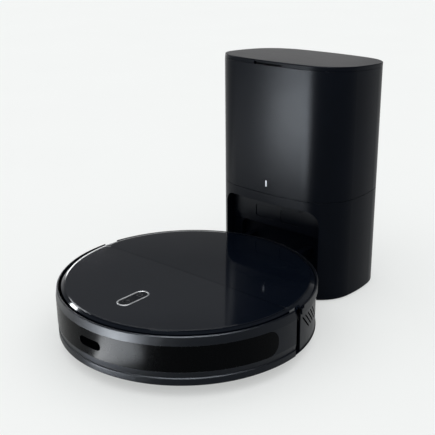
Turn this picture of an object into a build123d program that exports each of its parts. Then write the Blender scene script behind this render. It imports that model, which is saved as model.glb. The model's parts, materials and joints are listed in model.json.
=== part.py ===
from build123d import *
import math
import os

# A round robot vacuum parked in its self-emptying dock. Millimetres, +Z up, front towards -Y.
# The model is drawn round the robot's own vertical axis and moved to the middle of the set at the end.

# Clearances
FIT = 0.2            # between pieces that seat in each other
RUN = 0.05           # radial, round a turning shaft
SLIDE = 0.3          # between pieces that slide past each other

# Robot body
BODY_R = 171.0       # rear side shell
UNDERSIDE = 13.0     # ground clearance of the chassis
PLATE_T = 2.5
DECK_Z = 72.0        # underside of the top deck
DECK_T = 2.5
RIM_RISE = 3.5       # rim above the deck
RIM_W = 2.2
RIM_EDGE = 1.1
SHELL_T = 2.4
SHELL_STEP = 4.5     # height of the set-back foot of the rear shell
PANEL_TOP = 66.0     # set-back side panels with the vents
PANEL_END_Y = 130.0
SHOULDER_W = 9.5     # from the rim's outside to the top covers
SHOULDER_RISE = 5.1
SHOULDER_SLOPE = 0.62
COVER_T = 2.2
COVER_EDGE_RISE = 5.6
COVER_DOME_RISE = 7.5
SEAM_GAP = 0.5
PLATE_EDGE = 1.5     # chassis edge inside the body radius

# Front bumper
BUMPER_PROUD = 1.5
BUMPER_TRAVEL = 3.5
BUMPER_SPARE = 2.3
BUMPER_END_Y = 7.0   # the bumper reaches a little past the half circle
END_SPARE = 11.5     # open groove left behind the pressed bumper
BEVEL_DROP = 11.5
STRIP_H = 33.5
LOWER_BEVEL_H = 8.0
LOWER_BEVEL_IN = 1.6
LEDGE_H = 1.2
SKIRT_IN = 0.4
STRIP_T = 1.5
STRIP_ANGLE = 81.3   # each way from the front
STRIP_CORNER = 15.0
SLOT_LENGTH = 36.0
SLOT_H = 11.5
NOTCH_Y = (5.0, 27.0)
NOTCH_DEPTH = 4.4
LEAF_T = 0.5
LEAF_H = 10.0
LEAF_HALF = 15.0
LEAF_ANGLES = (-128.0, -52.0)

# Rocker button
BUTTON_Y = -99.5
BUTTON_LENGTH = 48.0
BUTTON_W = 20.0
BEZEL_W = 2.0
BEZEL_RISE = 0.7
BUTTON_DEPTH = 5.0
BUTTON_SINK = 0.5

# Drive wheels
WHEEL_R = 33.0
WHEEL_W = 20.0
WHEEL_X = 118.0
TYRE_T = 6.0
HUB_IN = 1.0         # hub face inside the tyre's side
HUB_CAP = 1.0        # cap over the axle's end
SPOKES = 5
TREADS = 24
TREAD_DEPTH = 1.4
TREAD_W = 3.0
AXLE_R = 4.0
ARM_LENGTH = 50.0
ARM_T = 14.0
ARM_GAP = 1.0
ARM_PIVOT_Z = 30.0
ARM_PIVOT_R = 9.0
ARM_AXLE_R = 13.0
PIVOT_R = 3.0
EAR_T = 4.0
EAR_W = 18.0
WELL_SPARE = 4.0
WHEEL_MOTOR_R = 11.0
WHEEL_MOTOR_LENGTH = 34.0
WHEEL_MOTOR_AHEAD = 22.0   # motor axis ahead of the wheel axle
WHEEL_MOTOR_LIFT = 5.0     # and above it
MOTOR_BOSS = 2.0
SPRING_R = 4.5
SPRING_WIRE = 1.2
SPRING_TURNS = 5
SPRING_SEAT_Y = -12.0

# Caster
CASTER_IN = 29.0      # swivel axis inside the front wall
CASTER_WHEEL_R = 14.0
CASTER_WHEEL_W = 15.0
CASTER_TRAIL = 5.0
CASTER_FORK_R = 20.0
CASTER_FORK_T = 4.0
CASTER_STEM_R = 4.0
CASTER_STEM_LENGTH = 12.0
CASTER_AXLE_R = 2.0
CASTER_LOW_EDGE = 8.0
CASTER_CLEAR = 1.0
CUP_T = 2.5

# Side brush
SIDE_IN = 28.65       # shaft inside the front wall
SIDE_ANGLE = -135.0
SIDE_HUB_R = 12.0
SIDE_HUB_Z = (4.0, 12.6)
SIDE_SHAFT_R = 3.0
SIDE_ARMS = 3
SIDE_ARM_LENGTH = 46.0
SIDE_ARM_Z = (4.0, 7.0)
SIDE_ARM_ROOT = 9.0
SIDE_ARM_TIP = 14.0
SIDE_MOTOR_R = 16.0
SIDE_MOTOR_H = 26.0

# Main brush and its drive
BRUSH_Y = 36.0
BRUSH_Z = 20.0
BRUSH_R = 19.0
BRUSH_CORE_R = 8.0
BRUSH_FINS = 6
BRUSH_FIN_T = 2.2
BRUSH_GAP = 1.5       # between the brush and its housing's ends
BRUSH_AXLE_R = 3.0
BEARING_R = 8.0
HOOD_IN_R = 21.5
HOOD_T = 2.5
HOOD_HALF = 80.0
HOOD_END_T = 4.0
THROAT_HALF = 36.0
THROAT_Z = (26.0, 40.0)
GUARD_T = 4.0
GUARD_RIM = 6.0
BRUSH_PULLEY_R = 7.0
MOTOR_PULLEY_R = 4.5
PULLEY_W = 7.0
PULLEY_GAP = 1.0
BELT_T = 1.4
BELT_W = 5.0
BELT_ROOM = 1.0
BRUSH_MOTOR_R = 12.0
BRUSH_MOTOR_Z = 58.0
BRUSH_MOTOR_LENGTH = 50.0
BRUSH_MOTOR_IN = 6.0  # from the housing's end
MOTOR_SHAFT_R = 2.0
SHAFT_GRIP = 6.0
SADDLE_W = 20.0
MOTOR_EDGE = 3.0     # rounding of the small motors' cases

# Dust bin
BIN_HALF = 42.0
BIN_FRONT = 68.0
BIN_TOP = 71.0
BIN_T = 2.0
PORT_Z = 42.0
PORT_R = 14.0
PORT_WALL = 2.0
PORT_DEPTH = 11.0
FLAP_T = 1.6
FLAP_LAP = 1.5
FLAP_HINGE_RISE = 5.0
FLAP_PIN_R = 1.6
FLAP_TAB_HALF = 9.0
LUG_X = (10.5, 14.5)
LUG_R = 3.2
RELEASE_HALF = 11.0
RELEASE_Z = (64.8, 68.4)
RELEASE_PROUD = 0.6
RELEASE_LIP = 2.0
FILTER_Y = (84.0, 126.0)
FILTER_T = 10.0
FILTER_PLEATS = 10
FILTER_TOP = 64.0

# Suction fan of the robot
FAN_R = 27.0
FAN_BESIDE = 3.0      # from the dust bin
FAN_BEHIND = 2.0      # from the brush housing
FAN_H = 40.0
FAN_WALL = 2.5
FAN_BLADES = 8
FAN_BLADE_T = 1.6
FAN_INLET_R = 11.0
FAN_SHAFT_R = 2.0
FAN_CLEAR = 2.0

# Battery, board, sensors and charging plates
BATTERY_HALF = 45.0
BATTERY_DEPTH = 54.0
BATTERY_BEHIND = 26.0 # from the caster's swivel axis
BATTERY_H = 36.0
BATTERY_ROUND = 6.0
HATCH_RIM = 4.0
BOARD_HALF = 62.0
BOARD_OVER = (1.0, 4.0)   # past the battery's front and rear
BOARD_Z = 58.0
BOARD_T = 1.6
POST_R = 4.0
CHIP_SIZE = (28.0, 24.0, 2.0)
CHIP_IN = 18.0       # from the board's front edge
PLUG_X = (-44.0, -28.0, 30.0, 46.0)
PLUG_SIZE = (10.0, 7.0, 6.0)
PLUG_IN = 2.0        # from the board's rear edge
CAPACITOR_X = (-40.0, 42.0)
CAPACITOR_R = 5.0
CAPACITOR_H = 8.0
POST_IN = 6.0
CLIFF_ANGLES = (-155.0, -112.0, -68.0, -25.0)
CLIFF_IN = 13.0
CLIFF_SIZE = (18.0, 8.0)
CONTACT_X = 52.0
PLATE_W = 12.0
PLATE_Z = (57.0, 69.0)
PLATE_DEPTH = 1.2
PLATE_PROUD = 0.3
VENTS = 5
VENT_FIRST = 13.0    # degrees behind the bumper's side
VENT_STEP = 2.9
VENT_W = 2.4
VENT_LENGTH = 30.0
VENT_TILT = 45.0
VENT_Z = 48.5

# Dock
DOCK_LAP = 6.0       # the robot's rear inside the dock's front
DOCK_DEPTH = 168.0
DOCK_W = 223.0
DOCK_H = 330.5
FRONT_BULGE = 10.0
SIDE_BULGE = 12.0
BACK_BULGE = 14.0
DOCK_CORNER = 59.0
DOCK_WALL = 2.5
SKIRT_Z = 2.0
PARTING_Z = 150.0
PARTING_GROOVE = 0.7
DOCK_FLOOR_T = 3.0
BOTTOM_Z = 3.0
BOTTOM_T = 3.0
FOOT_R = 9.0
FOOT_IN_SIDE = 44.0
FOOT_IN_FRONT = 41.0
FOOT_IN_BACK = 39.5
LID_T = 6.0
LID_TILT = 3.2       # degrees, rising from the hinge to the front
LID_WALL = 2.5
LID_RIM = 6.0
LID_EDGE = 1.2
LID_NOTCH_HALF = 24.0
LID_NOTCH_H = 3.5
LID_NOTCH_DEPTH = 10.0
SEAL_IN = 3.0
SEAL_W = 2.5
SEAL_H = 2.8
HINGE_IN = 1.0
KNUCKLE_R = 4.0
KNUCKLE_SPLIT = 28.0
KNUCKLE_END = 42.0
KNUCKLE_CLEAR = 0.4
HINGE_PIN_R = 1.6

# Alcove of the dock
MOUTH_HALF = 84.0
LIP_DROP = 14.0      # below the parting line
MOUTH_CORNER = 20.0
RECESS_DEPTH = 31.0
CAVITY_HALF = 70.0
CAVITY_TOP = 90.0
CAVITY_DEPTH = 41.0
CAVITY_CORNER = 12.0
FASCIA_T = 2.0
WINDOW_GAP = 10.0    # between the two signal windows
WINDOW_W = 36.0
WINDOW_Z = (99.0, 120.0)
WINDOW_SINK = 1.0
WINDOW_CORNER = 6.0
CONTACT_W = 10.0
CONTACT_T = 0.8
CONTACT_RIM = 1.0    # post edge left round the contact
LIGHT_RISE = 15.0    # above the parting line
LIGHT_W = 2.0
LIGHT_H = 9.0

# Dust path of the dock
DUCT_R = 17.0
DUCT_WALL = 2.2
DUCT_GAP = 2.5       # behind the alcove's liner
DUCT_NOSE_IN = 13.0  # nose behind the dock's front
DUCT_DROP = 87.0     # top run below the dock's top
DUCT_BEND = 20.0
PORT_SEAL_T = 3.0
PORT_SEAL_BACK = 12.0
HOLDER_T = 2.8
HOLDER_GAP = 4.5     # behind the duct
HOLDER_HALF = 41.0
COLLAR_HALF = 38.0
COLLAR_RISE = 45.0   # above and below the duct's mouth
COLLAR_T = 2.4
BAG_INSET = 10.0
BAG_LIFT = 9.0       # above the chamber's floor
BAG_DROP = 23.0      # below the lid
BAG_ROUND = 14.0

# Dock fan and power inlet
DOCK_FAN_R = 37.0
DOCK_FAN_IN = 9.5    # inside the dock's back
DOCK_FAN_TOP = 72.0
DOCK_FAN_WALL = 3.0
DOCK_FAN_NECK_R = 24.0
DOCK_FAN_BLADES = 9
DOCK_FAN_BLADE_T = 2.0
DOCK_FAN_SHAFT_R = 3.0
EXHAUST_SLOTS = 6
EXHAUST_HALF = 30.0
EXHAUST_Z = 60.0
EXHAUST_PITCH = 8.0
EXHAUST_H = 3.5
INLET_X = (40.0, 64.0)
INLET_Z = (20.0, 40.0)
INLET_DEPTH = 18.0
INLET_SINK = 5.0     # below the dock's rearmost line, because its back is curved
INLET_RIM = 4.0
INLET_PIN_R = 1.2
INLET_PIN_GAP = 8.0

# Heights and radii that follow from the sizes above
FLOOR = UNDERSIDE + PLATE_T
DECK_TOP = DECK_Z + DECK_T
RIM_TOP = DECK_TOP + RIM_RISE
SHELL_IN = BODY_R - SHELL_T
BUMPER_R = BODY_R + BUMPER_PROUD
BUMPER_IN = BODY_R - RIM_W
WALL_R = BUMPER_IN - BUMPER_TRAVEL - BUMPER_SPARE
DECK_R = BUMPER_IN - BUMPER_TRAVEL - SLIDE
COVER_R = BODY_R - SHOULDER_W
PLATE_R = BODY_R - PLATE_EDGE
BUMPER_BOTTOM = FLOOR + SLIDE
STRIP_TOP = RIM_TOP - BEVEL_DROP
STRIP_BOTTOM = STRIP_TOP - STRIP_H
STRIP_MID = (STRIP_TOP + STRIP_BOTTOM) / 2
SHELL_START = BUMPER_END_Y + BUMPER_TRAVEL + END_SPARE
ARM_OUT = WHEEL_X - WHEEL_W / 2 - ARM_GAP
ARM_IN = ARM_OUT - ARM_T
AXLE_END = WHEEL_X + WHEEL_W / 2 - HUB_IN - HUB_CAP
SPRING_SEAT_Z = WHEEL_R + ARM_AXLE_R
CASTER_Y = CASTER_IN - WALL_R
CASTER_TOP = 2 * CASTER_WHEEL_R + CASTER_FORK_T
SIDE_X = (WALL_R - SIDE_IN) * math.cos(math.radians(SIDE_ANGLE))
SIDE_Y = (WALL_R - SIDE_IN) * math.sin(math.radians(SIDE_ANGLE))
BRUSH_HALF = HOOD_HALF - BRUSH_GAP
BRUSH_MOTOR_X = (HOOD_HALF - BRUSH_MOTOR_IN - BRUSH_MOTOR_LENGTH, HOOD_HALF - BRUSH_MOTOR_IN)
SHAFT_END_X = HOOD_HALF + HOOD_END_T + PULLEY_GAP + PULLEY_W
BIN_Z = FLOOR + SLIDE
BIN_R = BODY_R - FIT
PORT_IN_Y = BODY_R - PORT_DEPTH
FLAP_HINGE_Z = PORT_Z + PORT_R + FLAP_HINGE_RISE
FLAP_Y = PORT_IN_Y - SLIDE - FLAP_T / 2
FAN_X = BIN_HALF + FAN_BESIDE + FAN_R
FAN_Y = BRUSH_Y + HOOD_IN_R + HOOD_T + FAN_BEHIND + FAN_R
BATTERY_Y = (CASTER_Y + BATTERY_BEHIND, CASTER_Y + BATTERY_BEHIND + BATTERY_DEPTH)
BOARD_Y = (BATTERY_Y[0] - BOARD_OVER[0], BATTERY_Y[1] + BOARD_OVER[1])
CLIFF_RING_R = WALL_R - CLIFF_IN
DOCK_FRONT = BODY_R - DOCK_LAP
DOCK_BACK = DOCK_FRONT + DOCK_DEPTH
FOOT_X = DOCK_W / 2 - FOOT_IN_SIDE
FOOT_Y = (DOCK_FRONT + FOOT_IN_FRONT, DOCK_BACK - FOOT_IN_BACK)
LID_Z = DOCK_H - LID_T
HOUSING_TOP = LID_Z - SLIDE
LID_RISE = DOCK_DEPTH * math.tan(math.radians(LID_TILT))
HINGE_Y = DOCK_BACK - HINGE_IN
RECESS_Y = DOCK_FRONT + RECESS_DEPTH
CAVITY_Y = DOCK_FRONT + CAVITY_DEPTH
BOTTOM_TOP = BOTTOM_Z + BOTTOM_T
CHAMBER_FLOOR = PARTING_Z + DOCK_FLOOR_T
LIP_Z = PARTING_Z - LIP_DROP
LIGHT_Z = PARTING_Z + LIGHT_RISE
DUCT_Y = CAVITY_Y + DOCK_WALL + DUCT_GAP + DUCT_R
DUCT_NOSE_Y = DOCK_FRONT + DUCT_NOSE_IN
DUCT_TOP_Z = DOCK_H - DUCT_DROP
HOLDER_Y = DUCT_Y + DUCT_R + HOLDER_GAP
COLLAR_Z = (DUCT_TOP_Z - COLLAR_RISE, DUCT_TOP_Z + COLLAR_RISE)
BAG_Z = (CHAMBER_FLOOR + BAG_LIFT, LID_Z - BAG_DROP)
DOCK_FAN_Y = DOCK_BACK - DOCK_FAN_IN - DOCK_FAN_R
SET_BACK = HINGE_Y + KNUCKLE_R
MIDDLE_Y = (SET_BACK - BUMPER_R) / 2
FAR = 500.0          # reach of cutting blocks
FRONT = -90.0        # direction of the front, in degrees from +X
SIDES = (("left", 1), ("right", -1))
BASE = (Align.CENTER, Align.CENTER, Align.MIN)


# Shared shapes

def block(x, y, z):
    spans = (x, y, z)
    middle = [(low + high) / 2 for low, high in spans]
    size = [high - low for low, high in spans]
    return Pos(*middle) * Box(*size)


def mirrored(side, low, high):
    """The span from low to high on the +X side, or its mirror image."""
    return (low, high) if side > 0 else (-high, -low)


def post(radius, x, y, low, high):
    return Pos(x, y, low) * Cylinder(radius, high - low, align=BASE)


def ring(outer, inner, x, y, low, high):
    return post(outer, x, y, low, high) - post(inner, x, y, low, high)


def cross_rod(radius, y, z, x):
    """Round bar along X."""
    return Pos(x[0], y, z) * Rot(Y=90) * Cylinder(radius, x[1] - x[0], align=BASE)


def back_rod(radius, x, z, y):
    """Round bar along Y."""
    return Pos(x, y[0], z) * Rot(X=-90) * Cylinder(radius, y[1] - y[0], align=BASE)


def turned(points, start=0, arc=360):
    """Solid turned about the robot's axis from (radius, height) points."""
    outline = make_face(Polyline(*[(r, 0, z) for r, z in points], close=True))
    return revolve(Rot(Z=start) * outline, Axis.Z, arc)


def across(sketch, x):
    """Side-view sketch (Y, Z) drawn out along X."""
    return Pos(x[0], 0, 0) * extrude(Plane.YZ * sketch, amount=x[1] - x[0])


def around(first, second):
    """Outline that wraps two circles, each given as (y, z, radius)."""
    edges = []
    for y, z, radius in (first, second):
        edges += (Pos(y, z) * Circle(radius)).edges()
    return make_hull(edges)


def blade_wheel(radius, hub, low, high, count, thickness):
    """Backplate, hub and straight blades of a centrifugal impeller, about the Z axis."""
    wheel = post(radius, 0, 0, low, low + thickness) + post(hub, 0, 0, low, high)
    for step in range(count):
        blade = block((hub - thickness, radius), (-thickness / 2, thickness / 2), (low, high - thickness))
        wheel += Rot(Z=360 * step / count) * blade
    return wheel


# Robot shells

def rear_y():
    return (SHELL_START, FAR)


def rim_notches():
    low = RIM_TOP - NOTCH_DEPTH
    cuts = block((COVER_R, FAR), NOTCH_Y, (low, FAR))
    return cuts + block((-FAR, -COVER_R), NOTCH_Y, (low, FAR))


def vent_slots():
    slots = Part()
    for step in range(VENTS):
        angle = VENT_FIRST + VENT_STEP * step
        slot = extrude(Plane.YZ * SlotOverall(VENT_LENGTH, VENT_W, rotation=-VENT_TILT), amount=3 * SHELL_T)
        slots += Rot(Z=angle) * Pos(SHELL_IN - 2 * SHELL_T, 0, VENT_Z) * slot
    return slots


def charging_plates(depth=PLATE_DEPTH, proud=PLATE_PROUD, spare=0.0):
    low, high = PLATE_Z
    band = ring(BODY_R + proud, BODY_R - depth, 0, 0, low - spare, high + spare)
    plates = Part()
    for _, side in SIDES:
        reach = mirrored(side, CONTACT_X - PLATE_W / 2 - spare, CONTACT_X + PLATE_W / 2 + spare)
        plates += band & block(reach, (0, FAR), (low - spare, high + spare))
    return plates


def shell_ring(step_z):
    """Wall of the rear shell, set back by its thickness below the step."""
    foot = SHELL_IN - SHELL_T
    return turned([
        (foot, FLOOR), (SHELL_IN, FLOOR), (SHELL_IN, step_z), (BODY_R, step_z),
        (BODY_R, RIM_TOP - RIM_EDGE), (BODY_R - RIM_EDGE, RIM_TOP), (SHELL_IN, RIM_TOP),
        (SHELL_IN, step_z + SHELL_T), (foot, step_z + SHELL_T)])


def rear_side_shell():
    lap_y = PANEL_END_Y + SHELL_T
    shell = shell_ring(PANEL_TOP) & block((-FAR, FAR), (SHELL_START, lap_y), (0, FAR))
    shell += shell_ring(FLOOR + SHELL_STEP) & block((-FAR, FAR), (PANEL_END_Y, FAR), (0, FAR))
    shell -= block((-BIN_HALF - FIT, BIN_HALF + FIT), (0, FAR), (0, BIN_TOP + FIT))
    return shell - vent_slots() - rim_notches() - charging_plates(spare=FIT / 2)


def top_deck():
    deck = post(DECK_R, 0, 0, DECK_Z, DECK_TOP)
    deck += post(SHELL_IN - FIT, 0, 0, DECK_Z, DECK_TOP) & block((-FAR, FAR), rear_y(), (0, FAR))
    deck += shoulder(DECK_R)
    deck += shoulder(SHELL_IN - FIT) & block((-FAR, FAR), rear_y(), (0, FAR))
    return deck - button_slot(0, DECK_Z, DECK_TOP)


def shoulder(outer):
    """Sloping ring that falls from the top covers to the rim."""
    inner = COVER_R + SLIDE
    top = DECK_TOP + SHOULDER_RISE
    fall = (outer - inner) * SHOULDER_SLOPE
    return turned([(inner, DECK_TOP), (outer, DECK_TOP), (outer, top - fall), (inner, top)])


def cover_cap():
    edge = DECK_TOP + COVER_EDGE_RISE
    dome = DECK_TOP + COVER_DOME_RISE
    skirt = COVER_R - COVER_T
    half = COVER_R / 2
    lift = (dome - edge) * 3 / 4     # a parabola's height at half its radius
    outside = ThreePointArc((0, 0, dome), (half, 0, edge + lift), (COVER_R, 0, edge))
    inside = ThreePointArc(
        (skirt, 0, edge - COVER_T), (half, 0, edge + lift - COVER_T), (0, 0, dome - COVER_T))
    outline = outside + Polyline((COVER_R, 0, edge), (COVER_R, 0, DECK_TOP), (skirt, 0, DECK_TOP),
                                 (skirt, 0, edge - COVER_T))
    outline += inside + Line((0, 0, dome - COVER_T), (0, 0, dome))
    return revolve(make_face(outline), Axis.Z)


def button_slot(grow, low, high):
    slot = SlotOverall(BUTTON_LENGTH + 2 * grow, BUTTON_W + 2 * grow, rotation=90)
    return extrude(Pos(0, BUTTON_Y, low) * slot, amount=high - low)


def front_top_cover():
    cover = cover_cap() & block((-FAR, FAR), (-FAR, -SEAM_GAP / 2), (0, FAR))
    return cover - button_slot(FIT / 2, 0, FAR)


def rear_top_cover():
    return cover_cap() & block((-FAR, FAR), (SEAM_GAP / 2, FAR), (0, FAR))


def bezel_top():
    """Height of the button's ring, a little above the cover's dome."""
    fall = (COVER_DOME_RISE - COVER_EDGE_RISE) * (BUTTON_Y / COVER_R) ** 2
    return DECK_TOP + COVER_DOME_RISE - fall + BEZEL_RISE


def button_bezel():
    low = bezel_top() - BUTTON_DEPTH
    bezel = button_slot(0, low, bezel_top()) - button_slot(-BEZEL_W, low, bezel_top())
    return chamfer(bezel.edges().group_by(Axis.Z)[-1], BEZEL_W / 4)


def rocker_button():
    top = bezel_top() - BUTTON_SINK
    key = button_slot(-BEZEL_W - SLIDE, top - BUTTON_DEPTH, top)
    return fillet(key.edges().group_by(Axis.Z)[-1], BEZEL_W / 4)


# Bumper

def front_only(solid):
    return solid & block((-FAR, FAR), (-FAR, BUMPER_END_Y), (0, FAR))


def strip_band(outer, inner, spare):
    """Band of the sensor strip with rounded ends."""
    low = STRIP_BOTTOM - spare
    high = STRIP_TOP + spare
    swing = STRIP_ANGLE + math.degrees(spare / BUMPER_R)
    band = turned([(inner, low), (outer, low), (outer, high), (inner, high)], FRONT - swing, 2 * swing)
    straight = band.edges().filter_by(GeomType.LINE)
    ends = [edge for edge in straight if abs(edge.tangent_at(0).Z) < 0.5]
    return fillet(ends, STRIP_CORNER + spare)


def slot_shape(spare, low, high):
    slot = SlotOverall(SLOT_LENGTH + 2 * spare, SLOT_H + 2 * spare)
    bar = extrude(Plane((0, 0, STRIP_MID), (1, 0, 0), (0, -1, 0)) * slot, amount=FAR)
    return bar & ring(high, low, 0, 0, STRIP_BOTTOM, STRIP_TOP)


def bumper_shell():
    lower = BUMPER_R - LOWER_BEVEL_IN
    skirt = BUMPER_R - SKIRT_IN
    lower_z = STRIP_BOTTOM - LOWER_BEVEL_H
    shell = turned([
        (BUMPER_IN, BUMPER_BOTTOM), (skirt, BUMPER_BOTTOM), (skirt, lower_z - LEDGE_H), (lower, lower_z),
        (BUMPER_R, STRIP_BOTTOM), (BUMPER_R, STRIP_TOP), (BODY_R, RIM_TOP - RIM_EDGE),
        (BODY_R - RIM_EDGE, RIM_TOP), (BUMPER_IN, RIM_TOP)])
    return front_only(shell) - strip_band(FAR, BUMPER_R - STRIP_T, FIT / 2) - rim_notches()


def bumper_sensor_strip():
    return strip_band(BUMPER_R, BUMPER_R - STRIP_T, 0) - slot_shape(FIT / 2, 0, FAR)


def bumper_slot_lens():
    return slot_shape(0, BUMPER_R - STRIP_T, BUMPER_R - STRIP_T / 3)


def bumper_springs():
    """Two bowed leaf springs between the chassis wall and the bumper."""
    bow = BUMPER_IN - WALL_R - LEAF_T - 2 * FIT
    leaf = trace(ThreePointArc((-LEAF_HALF, 0), (0, bow), (LEAF_HALF, 0)), LEAF_T)
    leaf = extrude(leaf, amount=LEAF_H)
    drop = WALL_R - math.sqrt(WALL_R ** 2 - LEAF_HALF ** 2)
    springs = Part()
    for angle in LEAF_ANGLES:
        springs += Rot(Z=angle - 90) * Pos(0, WALL_R + LEAF_T - drop, STRIP_MID) * leaf
    return springs & ring(BUMPER_IN - FIT, WALL_R + FIT, 0, 0, 0, FAR)


# Chassis

def wheel_well(side):
    spare = WELL_SPARE / 2
    wheel = mirrored(side, ARM_OUT - spare, WHEEL_X + WHEEL_W / 2 + spare)
    arm = mirrored(side, ARM_IN - spare, ARM_OUT + spare)
    swing = WHEEL_R + WELL_SPARE
    well = block(wheel, (-swing, swing), (0, DECK_Z))
    return well + block(arm, (-ARM_LENGTH - ARM_PIVOT_R - WELL_SPARE, ARM_AXLE_R + WELL_SPARE), (0, DECK_Z))


def pivot_ears(side):
    ears = Part()
    top = ARM_PIVOT_Z + EAR_W / 2
    for low in (ARM_IN - SLIDE - EAR_T, ARM_OUT + SLIDE):
        reach = mirrored(side, low, low + EAR_T)
        ear = block(reach, (-ARM_LENGTH - EAR_W / 2, -ARM_LENGTH + EAR_W / 2), (FLOOR, ARM_PIVOT_Z))
        ears += ear + cross_rod(EAR_W / 2, -ARM_LENGTH, ARM_PIVOT_Z, reach)
    return ears & block((-FAR, FAR), (-FAR, FAR), (FLOOR, top))


def suspension_pins():
    pins = Part()
    for _, side in SIDES:
        reach = mirrored(side, ARM_IN - SLIDE - EAR_T, ARM_OUT + SLIDE + EAR_T)
        pins += cross_rod(PIVOT_R, -ARM_LENGTH, ARM_PIVOT_Z, reach)
    return pins


def caster_cup():
    inner = CASTER_FORK_R + CASTER_CLEAR
    ceiling = CASTER_TOP + SLIDE
    cup = ring(inner + CUP_T, inner, 0, CASTER_Y, FLOOR, ceiling)
    cup += post(inner + CUP_T, 0, CASTER_Y, ceiling, ceiling + CUP_T)
    cup += post(2 * CASTER_STEM_R, 0, CASTER_Y, ceiling, CASTER_TOP + CASTER_STEM_LENGTH)
    return cup - post(CASTER_STEM_R + RUN, 0, CASTER_Y, FLOOR, FAR)


def brush_mouth(spare=0.0):
    """Opening under the main brush, with room for the belt at one end."""
    half = HOOD_IN_R + spare
    mouth = block((-HOOD_HALF - spare, HOOD_HALF + spare), (BRUSH_Y - half, BRUSH_Y + half), (0, FLOOR))
    belt = BRUSH_PULLEY_R + BELT_T + WELL_SPARE + spare
    end = (HOOD_HALF, SHAFT_END_X + PULLEY_GAP + spare)
    return mouth + block(end, (BRUSH_Y - belt, BRUSH_Y + belt), (0, FLOOR))


def battery_hatch(spare):
    low, high = BATTERY_Y
    rim = HATCH_RIM - spare
    return block((-BATTERY_HALF - rim, BATTERY_HALF + rim), (low - rim, high + rim), (0, FLOOR))


def cliff_windows(spare):
    windows = Part()
    wide, deep = CLIFF_SIZE
    for angle in CLIFF_ANGLES:
        slab = RectangleRounded(deep + 2 * spare, wide + 2 * spare, deep / 3)
        window = extrude(Pos(CLIFF_RING_R, 0, UNDERSIDE) * slab, amount=PLATE_T)
        windows += Rot(Z=angle) * window
    return windows


def board_posts():
    posts = Part()
    low, high = BOARD_Y
    for x in (-BOARD_HALF + POST_IN, BOARD_HALF - POST_IN):
        for y in (low + POST_IN, high - POST_IN):
            posts += post(POST_R, x, y, FLOOR, BOARD_Z)
    return posts


def chassis_base():
    plate = post(PLATE_R, 0, 0, UNDERSIDE, FLOOR)
    base = chamfer(plate.edges().group_by(Axis.Z)[0], PLATE_T / 2)
    base += ring(WALL_R, WALL_R - SHELL_T, 0, 0, FLOOR, DECK_Z)
    base -= block((-BIN_HALF - FIT, BIN_HALF + FIT), (BIN_FRONT, FAR), (FLOOR, BIN_TOP + FIT))
    outlet = block((0, FAR), (-FAN_R / 2, FAN_R / 2), (FLOOR + FAN_WALL, FLOOR + FAN_H))
    base -= Rot(Z=VENT_FIRST + VENT_STEP * (VENTS - 1) / 2) * Pos(FAN_X, 0, 0) * outlet
    for _, side in SIDES:
        base = base - wheel_well(side) + pivot_ears(side)
    base -= brush_mouth() + battery_hatch(0) + cliff_windows(0) + suspension_pins()
    base -= post(CASTER_FORK_R + CASTER_CLEAR, 0, CASTER_Y, UNDERSIDE, FLOOR)
    base += caster_cup() + board_posts()
    base -= cross_rod(BEARING_R + FIT, BRUSH_Y, BRUSH_Z, (-HOOD_HALF - HOOD_END_T, HOOD_HALF))
    return base - post(SIDE_SHAFT_R + SLIDE, SIDE_X, SIDE_Y, UNDERSIDE, FLOOR)


# Wheels

def wheel_hub(side):
    face = WHEEL_W / 2 - HUB_IN
    reach = (WHEEL_X - face, WHEEL_X + face)
    hub = cross_rod(WHEEL_R - TYRE_T, 0, WHEEL_R, reach)
    dish = WHEEL_R - 2 * TYRE_T
    hub -= cross_rod(dish, 0, WHEEL_R, (WHEEL_X + face / 2, reach[1]))
    hub += cross_rod(2 * AXLE_R, 0, WHEEL_R, reach)
    for step in range(SPOKES):
        spoke = block((WHEEL_X, AXLE_END), (-AXLE_R / 2, AXLE_R / 2), (0, dish))
        hub += Pos(0, 0, WHEEL_R) * Rot(X=360 * step / SPOKES) * spoke
    hub -= cross_rod(AXLE_R + RUN, 0, WHEEL_R, (reach[0], AXLE_END))
    return hub if side > 0 else mirror(hub, Plane.YZ)


def wheel_tyre(side):
    reach = (WHEEL_X - WHEEL_W / 2, WHEEL_X + WHEEL_W / 2)
    tyre = cross_rod(WHEEL_R, 0, WHEEL_R, reach) - cross_rod(WHEEL_R - TYRE_T, 0, WHEEL_R, reach)
    for step in range(TREADS):
        groove = block(reach, (-TREAD_W / 2, TREAD_W / 2), (WHEEL_R - TREAD_DEPTH, WHEEL_R + TREAD_DEPTH))
        tyre -= Pos(0, 0, WHEEL_R) * Rot(X=360 * (step + 0.5) / TREADS) * groove
    return tyre if side > 0 else mirror(tyre, Plane.YZ)


def wheel_arm(side):
    pivot = (-ARM_LENGTH, ARM_PIVOT_Z, ARM_PIVOT_R)
    arm = across(around(pivot, (0, WHEEL_R, ARM_AXLE_R)), (ARM_IN, ARM_OUT))
    arm += cross_rod(AXLE_R, 0, WHEEL_R, (ARM_OUT, AXLE_END - FIT))
    arm += post(SPRING_R + SPRING_WIRE, (ARM_IN + ARM_OUT) / 2, SPRING_SEAT_Y, WHEEL_R, SPRING_SEAT_Z)
    arm -= cross_rod(PIVOT_R + RUN, -ARM_LENGTH, ARM_PIVOT_Z, (ARM_IN, ARM_OUT))
    arm += wheel_motor()
    return arm if side > 0 else mirror(arm, Plane.YZ)


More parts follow.
